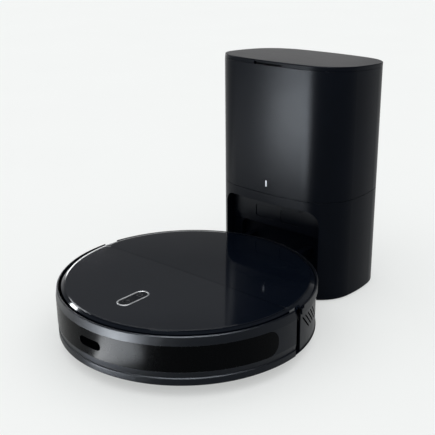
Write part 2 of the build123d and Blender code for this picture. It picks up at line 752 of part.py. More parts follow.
def wheel_motor():
    """Motor can moulded into the gearbox of the swing arm."""
    y = -WHEEL_MOTOR_AHEAD
    z = WHEEL_R + WHEEL_MOTOR_LIFT
    tail = ARM_IN - WHEEL_MOTOR_LENGTH
    can = cross_rod(WHEEL_MOTOR_R, y, z, (tail, ARM_IN))
    can = chamfer(can.edges().group_by(Axis.X)[0], WHEEL_MOTOR_R / 6)
    return can + cross_rod(WHEEL_MOTOR_R / 3, y, z, (tail - MOTOR_BOSS, tail))


def wheel_springs():
    """Coil springs that push the swing arms down from the top deck."""
    height = DECK_Z - SPRING_SEAT_Z - SPRING_WIRE - 2 * FIT
    path = Helix(height / SPRING_TURNS, height, SPRING_R)
    start = Plane(origin=path @ 0, z_dir=path % 0)
    coil = sweep(start * RegularPolygon(SPRING_WIRE / 2, 6), path)
    springs = Part()
    for _, side in SIDES:
        x = side * (ARM_IN + ARM_OUT) / 2
        springs += Pos(x, SPRING_SEAT_Y, SPRING_SEAT_Z + FIT + SPRING_WIRE / 2) * coil
    return springs


# Caster

def caster_fork():
    fork = post(CASTER_FORK_R, 0, CASTER_Y, CASTER_LOW_EDGE, CASTER_TOP)
    fork = chamfer(fork.edges().group_by(Axis.Z)[0], CASTER_FORK_T / 2)
    half = CASTER_WHEEL_W / 2 + SLIDE
    reach = CASTER_WHEEL_R + CASTER_CLEAR
    y = CASTER_Y + CASTER_TRAIL
    fork -= block((-half, half), (y - reach, y + reach), (0, CASTER_WHEEL_R))
    fork -= cross_rod(reach, y, CASTER_WHEEL_R, (-half, half))
    fork += post(CASTER_STEM_R, 0, CASTER_Y, CASTER_TOP, CASTER_TOP + CASTER_STEM_LENGTH)
    return fork - caster_axle()


def caster_axle():
    half = CASTER_WHEEL_W / 2 + CASTER_FORK_T
    return cross_rod(CASTER_AXLE_R, CASTER_Y + CASTER_TRAIL, CASTER_WHEEL_R, (-half, half))


def caster_wheel():
    half = CASTER_WHEEL_W / 2
    y = CASTER_Y + CASTER_TRAIL
    wheel = cross_rod(CASTER_WHEEL_R, y, CASTER_WHEEL_R, (-half, half))
    wheel = fillet(wheel.edges(), CASTER_WHEEL_W / 5)
    return wheel - cross_rod(CASTER_AXLE_R + RUN, y, CASTER_WHEEL_R, (-half, half))


# Side brush

def side_brush():
    low, high = SIDE_HUB_Z
    brush = post(SIDE_HUB_R, 0, 0, low, high) + post(SIDE_SHAFT_R, 0, 0, high, FLOOR + SIDE_MOTOR_H / 2)
    outline = make_face(Polyline(
        (0, -SIDE_ARM_ROOT / 2), (SIDE_ARM_LENGTH, -SIDE_ARM_TIP / 2), (SIDE_ARM_LENGTH, SIDE_ARM_TIP / 2),
        (0, SIDE_ARM_ROOT / 2), close=True))
    arm = Pos(0, 0, SIDE_ARM_Z[0]) * extrude(outline, amount=SIDE_ARM_Z[1] - SIDE_ARM_Z[0])
    inward = math.degrees(math.atan2(-SIDE_Y, -SIDE_X))
    for step in range(SIDE_ARMS):
        brush += Rot(Z=inward + 360 * step / SIDE_ARMS) * arm
    return Pos(SIDE_X, SIDE_Y, 0) * brush


def side_brush_motor():
    top = FLOOR + SIDE_MOTOR_H
    case = post(SIDE_MOTOR_R, SIDE_X, SIDE_Y, FLOOR, top)
    case = fillet(case.edges().group_by(Axis.Z)[-1], MOTOR_EDGE)
    case += post(SIDE_MOTOR_R / 2, SIDE_X, SIDE_Y, top, top + SIDE_MOTOR_R / 2)
    return case - post(SIDE_SHAFT_R + RUN, SIDE_X, SIDE_Y, FLOOR, FLOOR + SIDE_MOTOR_H / 2 + SLIDE)


# Main brush and drive

def main_brush():
    brush = cross_rod(BRUSH_CORE_R, 0, 0, (-BRUSH_HALF, BRUSH_HALF))
    for step in range(BRUSH_FINS):
        fin = block((-BRUSH_HALF, BRUSH_HALF), (-BRUSH_FIN_T / 2, BRUSH_FIN_T / 2), (0, BRUSH_R))
        brush += Rot(X=360 * (step + 0.5) / BRUSH_FINS) * fin
    brush += cross_rod(BRUSH_AXLE_R, 0, 0, (-HOOD_HALF - HOOD_END_T, SHAFT_END_X))
    brush += cross_rod(BRUSH_PULLEY_R, 0, 0, pulley_span())
    return Pos(0, BRUSH_Y, BRUSH_Z) * brush


def brush_bearings():
    races = Part()
    for low in (-HOOD_HALF - HOOD_END_T, HOOD_HALF):
        reach = (low, low + HOOD_END_T)
        race = cross_rod(BEARING_R, BRUSH_Y, BRUSH_Z, reach)
        races += race - cross_rod(BRUSH_AXLE_R + RUN, BRUSH_Y, BRUSH_Z, reach)
    return races


def hood_profile(radius):
    """Arch over the brush with straight legs down to the chassis."""
    arch = Pos(BRUSH_Y, BRUSH_Z) * Circle(radius)
    legs = Pos(BRUSH_Y, (BRUSH_Z + FLOOR) / 2) * Rectangle(2 * radius, BRUSH_Z - FLOOR)
    keep = Pos(BRUSH_Y, FLOOR + FAR / 2) * Rectangle(FAR, FAR)
    return (arch + legs) & keep


def brush_housing():
    end = HOOD_HALF + HOOD_END_T
    hood = across(hood_profile(HOOD_IN_R + HOOD_T), (-end, end))
    saddle_y = (BRUSH_Y - SADDLE_W / 2, BRUSH_Y + SADDLE_W / 2)
    low, high = BRUSH_MOTOR_X
    hood += block((low + HOOD_END_T, high - HOOD_END_T), saddle_y, (BRUSH_Z + HOOD_IN_R, BRUSH_MOTOR_Z))
    hood -= cross_rod(BRUSH_MOTOR_R + FIT, BRUSH_Y, BRUSH_MOTOR_Z, (low, high))
    hood -= across(hood_profile(HOOD_IN_R), (-HOOD_HALF, HOOD_HALF))
    hood -= cross_rod(BEARING_R, BRUSH_Y, BRUSH_Z, (-end, end))
    hood -= block((-end, end), (BRUSH_Y - BEARING_R, BRUSH_Y + BEARING_R), (0, BRUSH_Z))
    throat = (BRUSH_Y, BIN_FRONT - SLIDE)
    hood += block((-THROAT_HALF - HOOD_T, THROAT_HALF + HOOD_T), throat,
                  (THROAT_Z[0] - HOOD_T, THROAT_Z[1] + HOOD_T)) - across(hood_profile(HOOD_IN_R), (-FAR, FAR))
    return hood - block((-THROAT_HALF, THROAT_HALF), throat, THROAT_Z)


def brush_guard():
    low = UNDERSIDE - GUARD_T
    frame = brush_mouth(GUARD_RIM) & block((-FAR, FAR), (-FAR, FAR), (low, UNDERSIDE))
    half = HOOD_IN_R - FIT
    frame -= block((-HOOD_HALF + FIT, HOOD_HALF - FIT), (BRUSH_Y - half, BRUSH_Y + half), (0, FAR))
    frame -= across(belt_outline(BELT_T + SLIDE + BELT_ROOM), (HOOD_HALF + FIT, SHAFT_END_X + PULLEY_GAP))
    frame -= cross_rod(BEARING_R + FIT, BRUSH_Y, BRUSH_Z, (-HOOD_HALF - HOOD_END_T, HOOD_HALF + HOOD_END_T))
    return frame


def belt_outline(grow):
    brush = (BRUSH_Y, BRUSH_Z, BRUSH_PULLEY_R + grow)
    return around(brush, (BRUSH_Y, BRUSH_MOTOR_Z, MOTOR_PULLEY_R + grow))


def pulley_span():
    low = HOOD_HALF + HOOD_END_T + PULLEY_GAP
    return (low, low + PULLEY_W)


def drive_belt():
    middle = sum(pulley_span()) / 2
    reach = (middle - BELT_W / 2, middle + BELT_W / 2)
    return across(belt_outline(SLIDE + BELT_T) - belt_outline(SLIDE), reach)


def motor_pulley():
    pulley = cross_rod(MOTOR_PULLEY_R, BRUSH_Y, BRUSH_MOTOR_Z, pulley_span())
    shaft = (BRUSH_MOTOR_X[1] - SHAFT_GRIP, pulley_span()[1])
    return pulley + cross_rod(MOTOR_SHAFT_R, BRUSH_Y, BRUSH_MOTOR_Z, shaft)


def brush_motor():
    low, high = BRUSH_MOTOR_X
    can = cross_rod(BRUSH_MOTOR_R, BRUSH_Y, BRUSH_MOTOR_Z, BRUSH_MOTOR_X)
    can = fillet(can.edges().group_by(Axis.X)[0], MOTOR_EDGE)
    bore = (high - SHAFT_GRIP - SLIDE, high)
    return can - cross_rod(MOTOR_SHAFT_R + RUN, BRUSH_Y, BRUSH_MOTOR_Z, bore)


# Dust bin

def bin_form(inset):
    half = BIN_HALF - inset
    form = block((-half, half), (BIN_FRONT + inset, FAR), (BIN_Z + inset, BIN_TOP - inset))
    return form & post(BIN_R - inset, 0, 0, 0, FAR)


def dust_bin():
    outer = bin_form(0)
    body = outer - bin_form(BIN_T)
    body += back_rod(PORT_R + PORT_WALL, 0, PORT_Z, (PORT_IN_Y, BODY_R)) & outer
    for _, side in SIDES:
        lug = cross_rod(LUG_R, FLAP_Y, FLAP_HINGE_Z, mirrored(side, *LUG_X))
        lug += block(mirrored(side, *LUG_X), (FLAP_Y, BODY_R), (FLAP_HINGE_Z - LUG_R, FLAP_HINGE_Z + LUG_R))
        body += lug & outer
    body -= cross_rod(FLAP_PIN_R + RUN, FLAP_Y, FLAP_HINGE_Z, (-LUG_X[1], LUG_X[1]))
    body -= back_rod(PORT_R, 0, PORT_Z, (PORT_IN_Y, BODY_R))
    body -= block((-THROAT_HALF, THROAT_HALF), (BIN_FRONT, BIN_FRONT + BIN_T), THROAT_Z)
    side_window = (FILTER_Y[0] + BIN_T, FILTER_Y[1] - BIN_T)
    body -= block((BIN_HALF - BIN_T, BIN_HALF), side_window, (BIN_Z + 3 * BIN_T, FILTER_TOP - 2 * BIN_T))
    low, high = RELEASE_Z
    half = RELEASE_HALF + SLIDE
    return body - block((-half, half), (PORT_IN_Y, FAR), (low - SLIDE, high + SLIDE))


def bin_flap():
    middle = (FLAP_Y - FLAP_T / 2, FLAP_Y + FLAP_T / 2)
    flap = back_rod(PORT_R + FLAP_LAP, 0, PORT_Z, middle)
    flap += block((-FLAP_TAB_HALF, FLAP_TAB_HALF), middle, (PORT_Z, FLAP_HINGE_Z))
    return flap + cross_rod(FLAP_PIN_R, FLAP_Y, FLAP_HINGE_Z, (-LUG_X[1], LUG_X[1]))


def bin_release_button():
    inner = math.sqrt((BIN_R - BIN_T) ** 2 - (RELEASE_HALF + RELEASE_LIP) ** 2) - SLIDE
    key = block((-RELEASE_HALF, RELEASE_HALF), (inner - BIN_T, FAR), RELEASE_Z)
    key &= post(BODY_R + RELEASE_PROUD, 0, 0, 0, FAR)
    low, high = RELEASE_Z
    lip = RELEASE_HALF + RELEASE_LIP
    return key + block((-lip, lip), (inner - BIN_T, inner), (low - SLIDE, high + SLIDE))


def bin_filter():
    high_x = BIN_HALF - BIN_T - FIT
    low, high = FILTER_Y
    block_z = (BIN_Z + BIN_T + FIT, FILTER_TOP)
    pad = block((high_x - FILTER_T, high_x), FILTER_Y, block_z)
    pitch = (high - low) / FILTER_PLEATS
    for step in range(FILTER_PLEATS):
        y = low + pitch * (step + 0.5)
        pad -= block((high_x - FILTER_T, high_x - FILTER_T / 3), (y - pitch / 4, y + pitch / 4),
                     (block_z[0] + BIN_T, block_z[1] - BIN_T))
    return pad


# Suction fan of the robot

def fan_housing():
    top = FLOOR + FAN_H
    case = post(FAN_R, FAN_X, FAN_Y, FLOOR, top)
    case = fillet(case.edges().group_by(Axis.Z)[-1], FAN_WALL)
    case -= post(FAN_R - FAN_WALL, FAN_X, FAN_Y, FLOOR + FAN_WALL, top - FAN_WALL)
    case -= post(FAN_INLET_R, FAN_X, FAN_Y, FLOOR + FAN_WALL, top)
    case += post(3 * FAN_SHAFT_R, FAN_X, FAN_Y, FLOOR + FAN_WALL, FLOOR + 4 * FAN_WALL)
    case -= post(FAN_SHAFT_R + RUN, FAN_X, FAN_Y, FLOOR + FAN_WALL, top)
    outlet = (FLOOR + 2 * FAN_WALL, top - 2 * FAN_WALL)
    return case - block((FAN_X, FAN_X + FAN_R), (FAN_Y - FAN_R, FAN_Y - FAN_R / 2), outlet)


def fan_impeller():
    low = FLOOR + 4 * FAN_WALL + FAN_CLEAR
    high = FLOOR + FAN_H - FAN_WALL - FAN_CLEAR
    wheel = blade_wheel(FAN_R - FAN_WALL - FAN_CLEAR, 3 * FAN_SHAFT_R, low, high, FAN_BLADES, FAN_BLADE_T)
    wheel += post(FAN_SHAFT_R, 0, 0, FLOOR + FAN_WALL + SLIDE, low)
    return Pos(FAN_X, FAN_Y, 0) * wheel


# Battery and electronics

def battery_pack():
    pack = block((-BATTERY_HALF, BATTERY_HALF), BATTERY_Y, (FLOOR, FLOOR + BATTERY_H))
    return fillet(pack.edges().filter_by(Axis.X), BATTERY_ROUND)


def battery_cover():
    cover = battery_hatch(FIT) & block((-FAR, FAR), (-FAR, FAR), (UNDERSIDE, FLOOR))
    grip = Pos(0, BATTERY_Y[0] + 3 * HATCH_RIM, UNDERSIDE) * Cylinder(2 * HATCH_RIM, PLATE_T, align=BASE)
    return cover - Pos(0, 0, -PLATE_T / 2) * grip


def main_circuit_board():
    top = BOARD_Z + BOARD_T
    low, high = BOARD_Y
    board = block((-BOARD_HALF, BOARD_HALF), BOARD_Y, (BOARD_Z, top))
    wide, deep, tall = CHIP_SIZE
    board += block((-wide / 2, wide / 2), (low + CHIP_IN, low + CHIP_IN + deep), (top, top + tall))
    wide, deep, tall = PLUG_SIZE
    for x in PLUG_X:
        plug_y = (high - PLUG_IN - deep, high - PLUG_IN)
        board += block((x - wide / 2, x + wide / 2), plug_y, (top, top + tall))
    for x in CAPACITOR_X:
        board += post(CAPACITOR_R, x, low + CHIP_IN, top, top + CAPACITOR_H)
    return board


# Dock shells

def bulge_radius(half, rise):
    """Radius of an arc that spans twice half and rises by rise."""
    return (half ** 2 + rise ** 2) / (2 * rise)


def dock_plan(inset=0.0):
    """Four bulged sides with large corners, drawn in by the inset."""
    half_x = DOCK_W / 2 - SIDE_BULGE
    half_y = (DOCK_DEPTH - FRONT_BULGE - BACK_BULGE) / 2
    middle = DOCK_FRONT + FRONT_BULGE + half_y
    front = bulge_radius(half_x, FRONT_BULGE)
    back = bulge_radius(half_x, BACK_BULGE)
    side = bulge_radius(half_y, SIDE_BULGE)
    plan = Pos(0, DOCK_FRONT + front) * Circle(front - inset)
    plan &= Pos(0, DOCK_BACK - back) * Circle(back - inset)
    for x in (side - DOCK_W / 2, DOCK_W / 2 - side):
        plan &= Pos(x, middle) * Circle(side - inset)
    return fillet(plan.vertices(), DOCK_CORNER - inset)


def dock_slab(inset, low, high):
    return Pos(0, 0, low) * extrude(dock_plan(inset), amount=high - low)


def dock_wall(low, high):
    return dock_slab(0, low, high) - dock_slab(DOCK_WALL, low, high)


def parting_groove(z):
    half = PARTING_GROOVE / 2
    return dock_slab(0, z - half, z + half) - dock_slab(PARTING_GROOVE, z - half, z + half)


def alcove_space(grow=0.0):
    """The recess at the mouth and the deeper cavity behind it."""
    front = DOCK_FRONT - RECESS_DEPTH
    half = MOUTH_HALF + grow
    mouth = block((-half, half), (front, RECESS_Y + grow), (-MOUTH_CORNER, LIP_Z + grow))
    mouth = fillet(mouth.edges().filter_by(Axis.Y).group_by(Axis.Z)[-1], MOUTH_CORNER + grow)
    half = CAVITY_HALF + grow
    cavity = block((-half, half), (front, CAVITY_Y + grow), (-MOUTH_CORNER, CAVITY_TOP + grow))
    cavity = fillet(cavity.edges().filter_by(Axis.Y).group_by(Axis.Z)[-1], CAVITY_CORNER + grow)
    return mouth + cavity


def exhaust_slots():
    slots = Part()
    for step in range(EXHAUST_SLOTS):
        z = EXHAUST_Z + EXHAUST_PITCH * step
        slot = SlotOverall(2 * EXHAUST_HALF, EXHAUST_H)
        back = Plane((0, DOCK_BACK + DOCK_WALL, z), (1, 0, 0), (0, -1, 0))
        slots += extrude(back * slot, amount=4 * DOCK_WALL)
    return slots


def dock_lower_housing():
    liner = alcove_space(DOCK_WALL) & dock_slab(0, BOTTOM_TOP + FIT, PARTING_Z)
    housing = dock_wall(SKIRT_Z, PARTING_Z) + liner - alcove_space()
    housing += contact_blocks((contact_face() + CONTACT_T, CAVITY_Y + DOCK_WALL), 0)
    housing -= back_rod(DUCT_R + FIT, 0, PORT_Z, (RECESS_Y, DUCT_Y))
    housing -= block(INLET_X, (DOCK_BACK - INLET_SINK - INLET_DEPTH, FAR), INLET_Z)
    return housing - exhaust_slots() - parting_groove(PARTING_Z)


def dock_bottom_plate():
    return dock_slab(DOCK_WALL + FIT, BOTTOM_Z, BOTTOM_TOP)


def dock_feet():
    feet = Part()
    for x in (-FOOT_X, FOOT_X):
        for y in FOOT_Y:
            foot = post(FOOT_R, x, y, 0, BOTTOM_Z)
            feet += chamfer(foot.edges().group_by(Axis.Z)[0], BOTTOM_Z / 3)
    return feet


def status_light(spare=0.0):
    half = LIGHT_W / 2 + spare
    tall = LIGHT_H / 2 + spare
    return block((-half, half), (DOCK_FRONT, DOCK_FRONT + DOCK_WALL), (LIGHT_Z - tall, LIGHT_Z + tall))


def hinge_rod(radius, x):
    return cross_rod(radius, HINGE_Y, LID_Z, x)


def tilted(solid):
    """Turns a level solid up about the lid's hinge, front side high."""
    return Pos(0, HINGE_Y, LID_Z) * Rot(X=-LID_TILT) * Pos(0, -HINGE_Y, -LID_Z) * solid


def outer_knuckles(grow=0.0):
    knuckles = Part()
    for _, side in SIDES:
        knuckles += hinge_rod(KNUCKLE_R + grow, mirrored(side, KNUCKLE_SPLIT - grow / 2, KNUCKLE_END + grow))
    return knuckles


def dock_upper_housing():
    housing = dock_wall(PARTING_Z, HOUSING_TOP + LID_RISE) + dock_slab(DOCK_WALL, PARTING_Z, CHAMBER_FLOOR)
    housing -= tilted(block((-FAR, FAR), (0, FAR), (HOUSING_TOP, FAR)))
    housing -= post(DUCT_R + FIT, 0, DUCT_Y, 0, FAR) & block((-FAR, FAR), (0, FAR), (0, CHAMBER_FLOOR))
    housing -= post(DOCK_FAN_NECK_R - DOCK_FAN_WALL, 0, DOCK_FAN_Y, PARTING_Z, CHAMBER_FLOOR)
    housing -= status_light(FIT / 2)
    housing -= hinge_rod(KNUCKLE_R + KNUCKLE_CLEAR, (-KNUCKLE_SPLIT, KNUCKLE_SPLIT))
    housing += outer_knuckles()
    housing -= hinge_rod(HINGE_PIN_R, (-KNUCKLE_END, KNUCKLE_END))
    return housing - parting_groove(PARTING_Z)


def dock_lid():
    lid = dock_slab(0, LID_Z, DOCK_H)
    lid = fillet(lid.edges().group_by(Axis.Z)[-1], LID_EDGE)
    lid -= dock_slab(LID_RIM, LID_Z, DOCK_H - LID_WALL)
    notch_y = (0, DOCK_FRONT + LID_NOTCH_DEPTH / 2)
    lid -= block((-LID_NOTCH_HALF, LID_NOTCH_HALF), notch_y, (LID_Z, LID_Z + LID_NOTCH_H))
    lid -= outer_knuckles(KNUCKLE_CLEAR)
    inner = KNUCKLE_SPLIT - KNUCKLE_CLEAR
    lid += hinge_rod(KNUCKLE_R, (-inner, inner))
    return tilted(lid - hinge_rod(HINGE_PIN_R + RUN, (-KNUCKLE_SPLIT, KNUCKLE_SPLIT)))


def lid_hinge_pin():
    return hinge_rod(HINGE_PIN_R, (-KNUCKLE_END, KNUCKLE_END))


def lid_seal():
    low = LID_Z - SEAL_H
    seal = dock_slab(SEAL_IN, low, LID_Z) - dock_slab(SEAL_IN + SEAL_W, low, LID_Z)
    end = KNUCKLE_END + KNUCKLE_CLEAR
    return tilted(seal - hinge_rod(KNUCKLE_R + KNUCKLE_CLEAR, (-end, end)))


# Alcove fittings

def alcove_fascia():
    """Glossy window band under the mouth's lip."""
    half = MOUTH_HALF - FIT
    panel = block((-half, half), (RECESS_Y - FASCIA_T, RECESS_Y), (0, LIP_Z - FIT))
    panel = fillet(panel.edges().filter_by(Axis.Y).group_by(Axis.Z)[-1], MOUTH_CORNER)
    panel &= block((-FAR, FAR), (0, FAR), (CAVITY_TOP, FAR))
    for _, side in SIDES:
        reach = mirrored(side, WINDOW_GAP / 2, WINDOW_GAP / 2 + WINDOW_W)
        window = block(reach, (0, RECESS_Y - FASCIA_T + WINDOW_SINK), WINDOW_Z)
        panel -= fillet(window.edges().filter_by(Axis.Y), WINDOW_CORNER)
    return panel


def contact_face():
    """Y of the dock's contacts, just behind the robot's charging plates."""
    inner = CONTACT_X - CONTACT_W / 2
    return math.sqrt((BODY_R + PLATE_PROUD) ** 2 - inner ** 2) + SLIDE


def contact_blocks(y, inset):
    low, high = PLATE_Z
    blocks = Part()
    for _, side in SIDES:
        reach = mirrored(side, CONTACT_X - CONTACT_W / 2 + inset, CONTACT_X + CONTACT_W / 2 - inset)
        blocks += block(reach, y, (low + inset, high - inset))
    return blocks


def dock_contacts():
    return contact_blocks((contact_face(), contact_face() + CONTACT_T), CONTACT_RIM)


# Dust path of the dock

def duct_path():
    return FilletPolyline(
        (0, DUCT_NOSE_Y, PORT_Z), (0, DUCT_Y, PORT_Z), (0, DUCT_Y, DUCT_TOP_Z),
        (0, HOLDER_Y + HOLDER_T, DUCT_TOP_Z), radius=DUCT_BEND)


def dust_duct():
    path = duct_path()
    start = Plane((0, DUCT_NOSE_Y, PORT_Z), (1, 0, 0), (0, 1, 0))
    return sweep(start * (Circle(DUCT_R) - Circle(DUCT_R - DUCT_WALL)), path)


def port_seal():
    """Rubber lip that closes on the robot's rear."""
    back = DUCT_NOSE_Y + PORT_SEAL_BACK
    seal = back_rod(DUCT_R + PORT_SEAL_T, 0, PORT_Z, (DOCK_FRONT, back))
    seal -= back_rod(DUCT_R, 0, PORT_Z, (DUCT_NOSE_Y, back))
    seal -= back_rod(DUCT_R - DUCT_WALL, 0, PORT_Z, (DOCK_FRONT, back))
    return seal - post(BODY_R + SLIDE, 0, 0, 0, FAR)


def bag_holder():
    low, high = COLLAR_Z
    back = HOLDER_Y + HOLDER_T
    holder = block((-HOLDER_HALF, HOLDER_HALF), (HOLDER_Y, back), (CHAMBER_FLOOR, high))
    rail_y = (back, back + COLLAR_T + 2 * FIT)
    for _, side in SIDES:
        holder += block(mirrored(side, COLLAR_HALF + FIT, HOLDER_HALF), rail_y, (low, high))
    holder += block((-HOLDER_HALF, HOLDER_HALF), rail_y, (low - HOLDER_T - FIT, low - FIT))
    return holder - back_rod(DUCT_R + FIT, 0, DUCT_TOP_Z, (HOLDER_Y, back))


def bag_collar():
    front = HOLDER_Y + HOLDER_T + FIT
    collar = block((-COLLAR_HALF, COLLAR_HALF), (front, front + COLLAR_T), COLLAR_Z)
    return collar - back_rod(DUCT_R - DUCT_WALL, 0, DUCT_TOP_Z, (front, front + COLLAR_T))


def dust_bag():
    front = HOLDER_Y + HOLDER_T + COLLAR_T + 2 * FIT + SLIDE
    bag = dock_slab(DOCK_WALL + BAG_INSET, *BAG_Z) & block((-FAR, FAR), (front, FAR), (0, FAR))
    return fillet(bag.edges().group_by(Axis.Z)[-1] + bag.edges().group_by(Axis.Z)[0], BAG_ROUND)


# Dock fan and power inlet

def dock_fan_housing():
    inner = DOCK_FAN_R - DOCK_FAN_WALL
    neck = DOCK_FAN_NECK_R - DOCK_FAN_WALL
    case = post(DOCK_FAN_R, 0, DOCK_FAN_Y, BOTTOM_TOP, DOCK_FAN_TOP)
    case = fillet(case.edges().group_by(Axis.Z)[-1], 2 * DOCK_FAN_WALL)
    case += post(DOCK_FAN_NECK_R, 0, DOCK_FAN_Y, DOCK_FAN_TOP, PARTING_Z)
    case -= post(inner, 0, DOCK_FAN_Y, BOTTOM_TOP + DOCK_FAN_WALL, DOCK_FAN_TOP - DOCK_FAN_WALL)
    case -= post(neck, 0, DOCK_FAN_Y, DOCK_FAN_TOP - DOCK_FAN_WALL, PARTING_Z)
    case += post(3 * DOCK_FAN_SHAFT_R, 0, DOCK_FAN_Y, BOTTOM_TOP, BOTTOM_TOP + 5 * DOCK_FAN_WALL)
    bore = (BOTTOM_TOP + DOCK_FAN_WALL, BOTTOM_TOP + 5 * DOCK_FAN_WALL)
    case -= post(DOCK_FAN_SHAFT_R + RUN, 0, DOCK_FAN_Y, *bore)
    mouth = (BOTTOM_TOP + 4 * DOCK_FAN_WALL, DOCK_FAN_TOP - 4 * DOCK_FAN_WALL)
    return case - block((-neck, neck), (DOCK_FAN_Y + inner / 2, FAR), mouth)


def dock_fan_impeller():
    low = BOTTOM_TOP + 5 * DOCK_FAN_WALL + FAN_CLEAR
    high = DOCK_FAN_TOP - DOCK_FAN_WALL - FAN_CLEAR
    radius = DOCK_FAN_R - DOCK_FAN_WALL - FAN_CLEAR
    wheel = blade_wheel(radius, 3 * DOCK_FAN_SHAFT_R, low, high, DOCK_FAN_BLADES, DOCK_FAN_BLADE_T)
    wheel += post(DOCK_FAN_SHAFT_R, 0, 0, BOTTOM_TOP + DOCK_FAN_WALL + SLIDE, low)
    return Pos(0, DOCK_FAN_Y, 0) * wheel


def power_inlet():
    low, high = INLET_X
    bottom, top = INLET_Z
    back = DOCK_BACK - INLET_SINK
    front = back - INLET_DEPTH
    socket = block((low + FIT, high - FIT), (front, back), (bottom + FIT, top - FIT))
    socket -= block((low + INLET_RIM, high - INLET_RIM), (front + INLET_RIM, back),
                    (bottom + INLET_RIM, top - INLET_RIM))
    middle = (low + high) / 2
    for x in (middle - INLET_PIN_GAP / 2, middle + INLET_PIN_GAP / 2):
        socket += back_rod(INLET_PIN_R, x, (bottom + top) / 2, (front, back - INLET_RIM))
    return socket


PARTS = {
    "chassis_base": chassis_base(),
    "rear_side_shell": rear_side_shell(),
    "top_deck": top_deck(),
    "front_top_cover": front_top_cover(),
    "rear_top_cover": rear_top_cover(),
    "button_bezel": button_bezel(),
    "rocker_button": rocker_button(),
    "bumper_shell": bumper_shell(),
    "bumper_sensor_strip": bumper_sensor_strip(),
    "bumper_slot_lens": bumper_slot_lens(),
    "bumper_springs": bumper_springs(),
    "suspension_pins": suspension_pins(),
    "wheel_springs": wheel_springs(),
    "caster_fork": caster_fork(),
    "caster_axle": caster_axle(),
    "caster_wheel": caster_wheel(),
    "side_brush": side_brush(),
    "side_brush_motor": side_brush_motor(),
    "main_brush": main_brush(),
    "brush_bearings": brush_bearings(),
    "brush_housing": brush_housing(),
    "brush_guard": brush_guard(),
    "motor_pulley": motor_pulley(),
    "drive_belt": drive_belt(),
    "brush_motor": brush_motor(),
    "dust_bin": dust_bin(),
    "bin_flap": bin_flap(),
    "bin_release_button": bin_release_button(),
    "bin_filter": bin_filter(),
    "fan_housing": fan_housing(),
    "fan_impeller": fan_impeller(),
    "battery_pack": battery_pack(),
    "battery_cover": battery_cover(),
    "main_circuit_board": main_circuit_board(),
    "cliff_sensor_lenses": cliff_windows(-FIT / 2),
    "charging_plates": charging_plates(),
    "dock_lower_housing": dock_lower_housing(),
    "dock_bottom_plate": dock_bottom_plate(),
    "dock_feet": dock_feet(),
    "dock_upper_housing": dock_upper_housing(),
    "dock_lid": dock_lid(),
    "lid_hinge_pin": lid_hinge_pin(),
    "lid_seal": lid_seal(),
    "status_light": status_light(),
    "alcove_fascia": alcove_fascia(),
    "dock_contacts": dock_contacts(),
    "dust_duct": dust_duct(),
    "port_seal": port_seal(),
    "bag_holder": bag_holder(),
    "bag_collar": bag_collar(),
    "dust_bag": dust_bag(),
    "dock_fan_housing": dock_fan_housing(),
    "dock_fan_impeller": dock_fan_impeller(),
    "power_inlet": power_inlet(),
}
for side_name, sign in SIDES:
    PARTS[side_name + "_wheel_hub"] = wheel_hub(sign)
    PARTS[side_name + "_wheel_tyre"] = wheel_tyre(sign)
    PARTS[side_name + "_wheel_arm"] = wheel_arm(sign)

os.makedirs("parts", exist_ok=True)
for name, solid in PARTS.items():
    export_step(Pos(0, -MIDDLE_Y, 0) * solid, f"parts/{name}.step")
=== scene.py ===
import json
import math

import bmesh
import bpy
from mathutils import Matrix, Vector


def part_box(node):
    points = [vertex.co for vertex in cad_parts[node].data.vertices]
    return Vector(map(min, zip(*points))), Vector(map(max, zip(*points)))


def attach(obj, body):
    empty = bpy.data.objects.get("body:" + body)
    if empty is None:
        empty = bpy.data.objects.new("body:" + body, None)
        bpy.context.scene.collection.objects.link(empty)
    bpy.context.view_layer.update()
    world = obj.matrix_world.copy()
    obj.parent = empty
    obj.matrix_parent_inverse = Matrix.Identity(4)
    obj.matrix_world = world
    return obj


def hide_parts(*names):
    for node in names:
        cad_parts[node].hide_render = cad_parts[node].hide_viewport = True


# A round robot vacuum parked in its self-emptying dock. Metres, +Z up, front towards -Y.
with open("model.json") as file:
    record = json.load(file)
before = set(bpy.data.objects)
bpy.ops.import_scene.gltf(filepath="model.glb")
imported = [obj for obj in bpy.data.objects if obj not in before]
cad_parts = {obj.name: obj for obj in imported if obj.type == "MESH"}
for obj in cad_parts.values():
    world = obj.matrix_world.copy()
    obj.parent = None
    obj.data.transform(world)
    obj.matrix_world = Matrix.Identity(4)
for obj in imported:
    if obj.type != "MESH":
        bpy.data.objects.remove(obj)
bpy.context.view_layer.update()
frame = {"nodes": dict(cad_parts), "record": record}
NODES = frame["nodes"]
RECORD = frame["record"]
MM = 0.001
ROBOT_Y = -81.75 * MM    # the robot's own axis in this frame

# Finishes
SLOTS = {}               # every finish by its name, filled as they are made
OWN_FINISH = {           # nodes that don't have the finish of the record's slot
    "bumper_shell": "bumper_black",
    "rear_side_shell": "bumper_black",
    "bumper_slot_lens": "slot_black",
    "alcove_fascia": "fascia_black",
    "front_top_cover": "front_cover_black",
    "rear_top_cover": "cover_black",
    "rocker_button": "satin_black",
}
COOL = (0.86, 0.93, 1.0, 1.0)    # tint of the plastics' gloss
SOFT_EDGE = 0.4 * MM     # radius with which edges of plastic are shaded
TONE_BAND = (0.35, 0.65)         # noise values that get the dark and the light tone
GLOSS_BAND = (0.3, 0.7)          # noise values that get the least and the most roughness
WIPE = (30, 190, 60)     # stretch of the plastics' uneven gloss
NAVY_TONES = ((0.0014, 0.0022, 0.0045), (0.002, 0.003, 0.006))
WINDOW_TONES = ((0.0004, 0.0005, 0.0007), (0.0007, 0.0008, 0.0011))

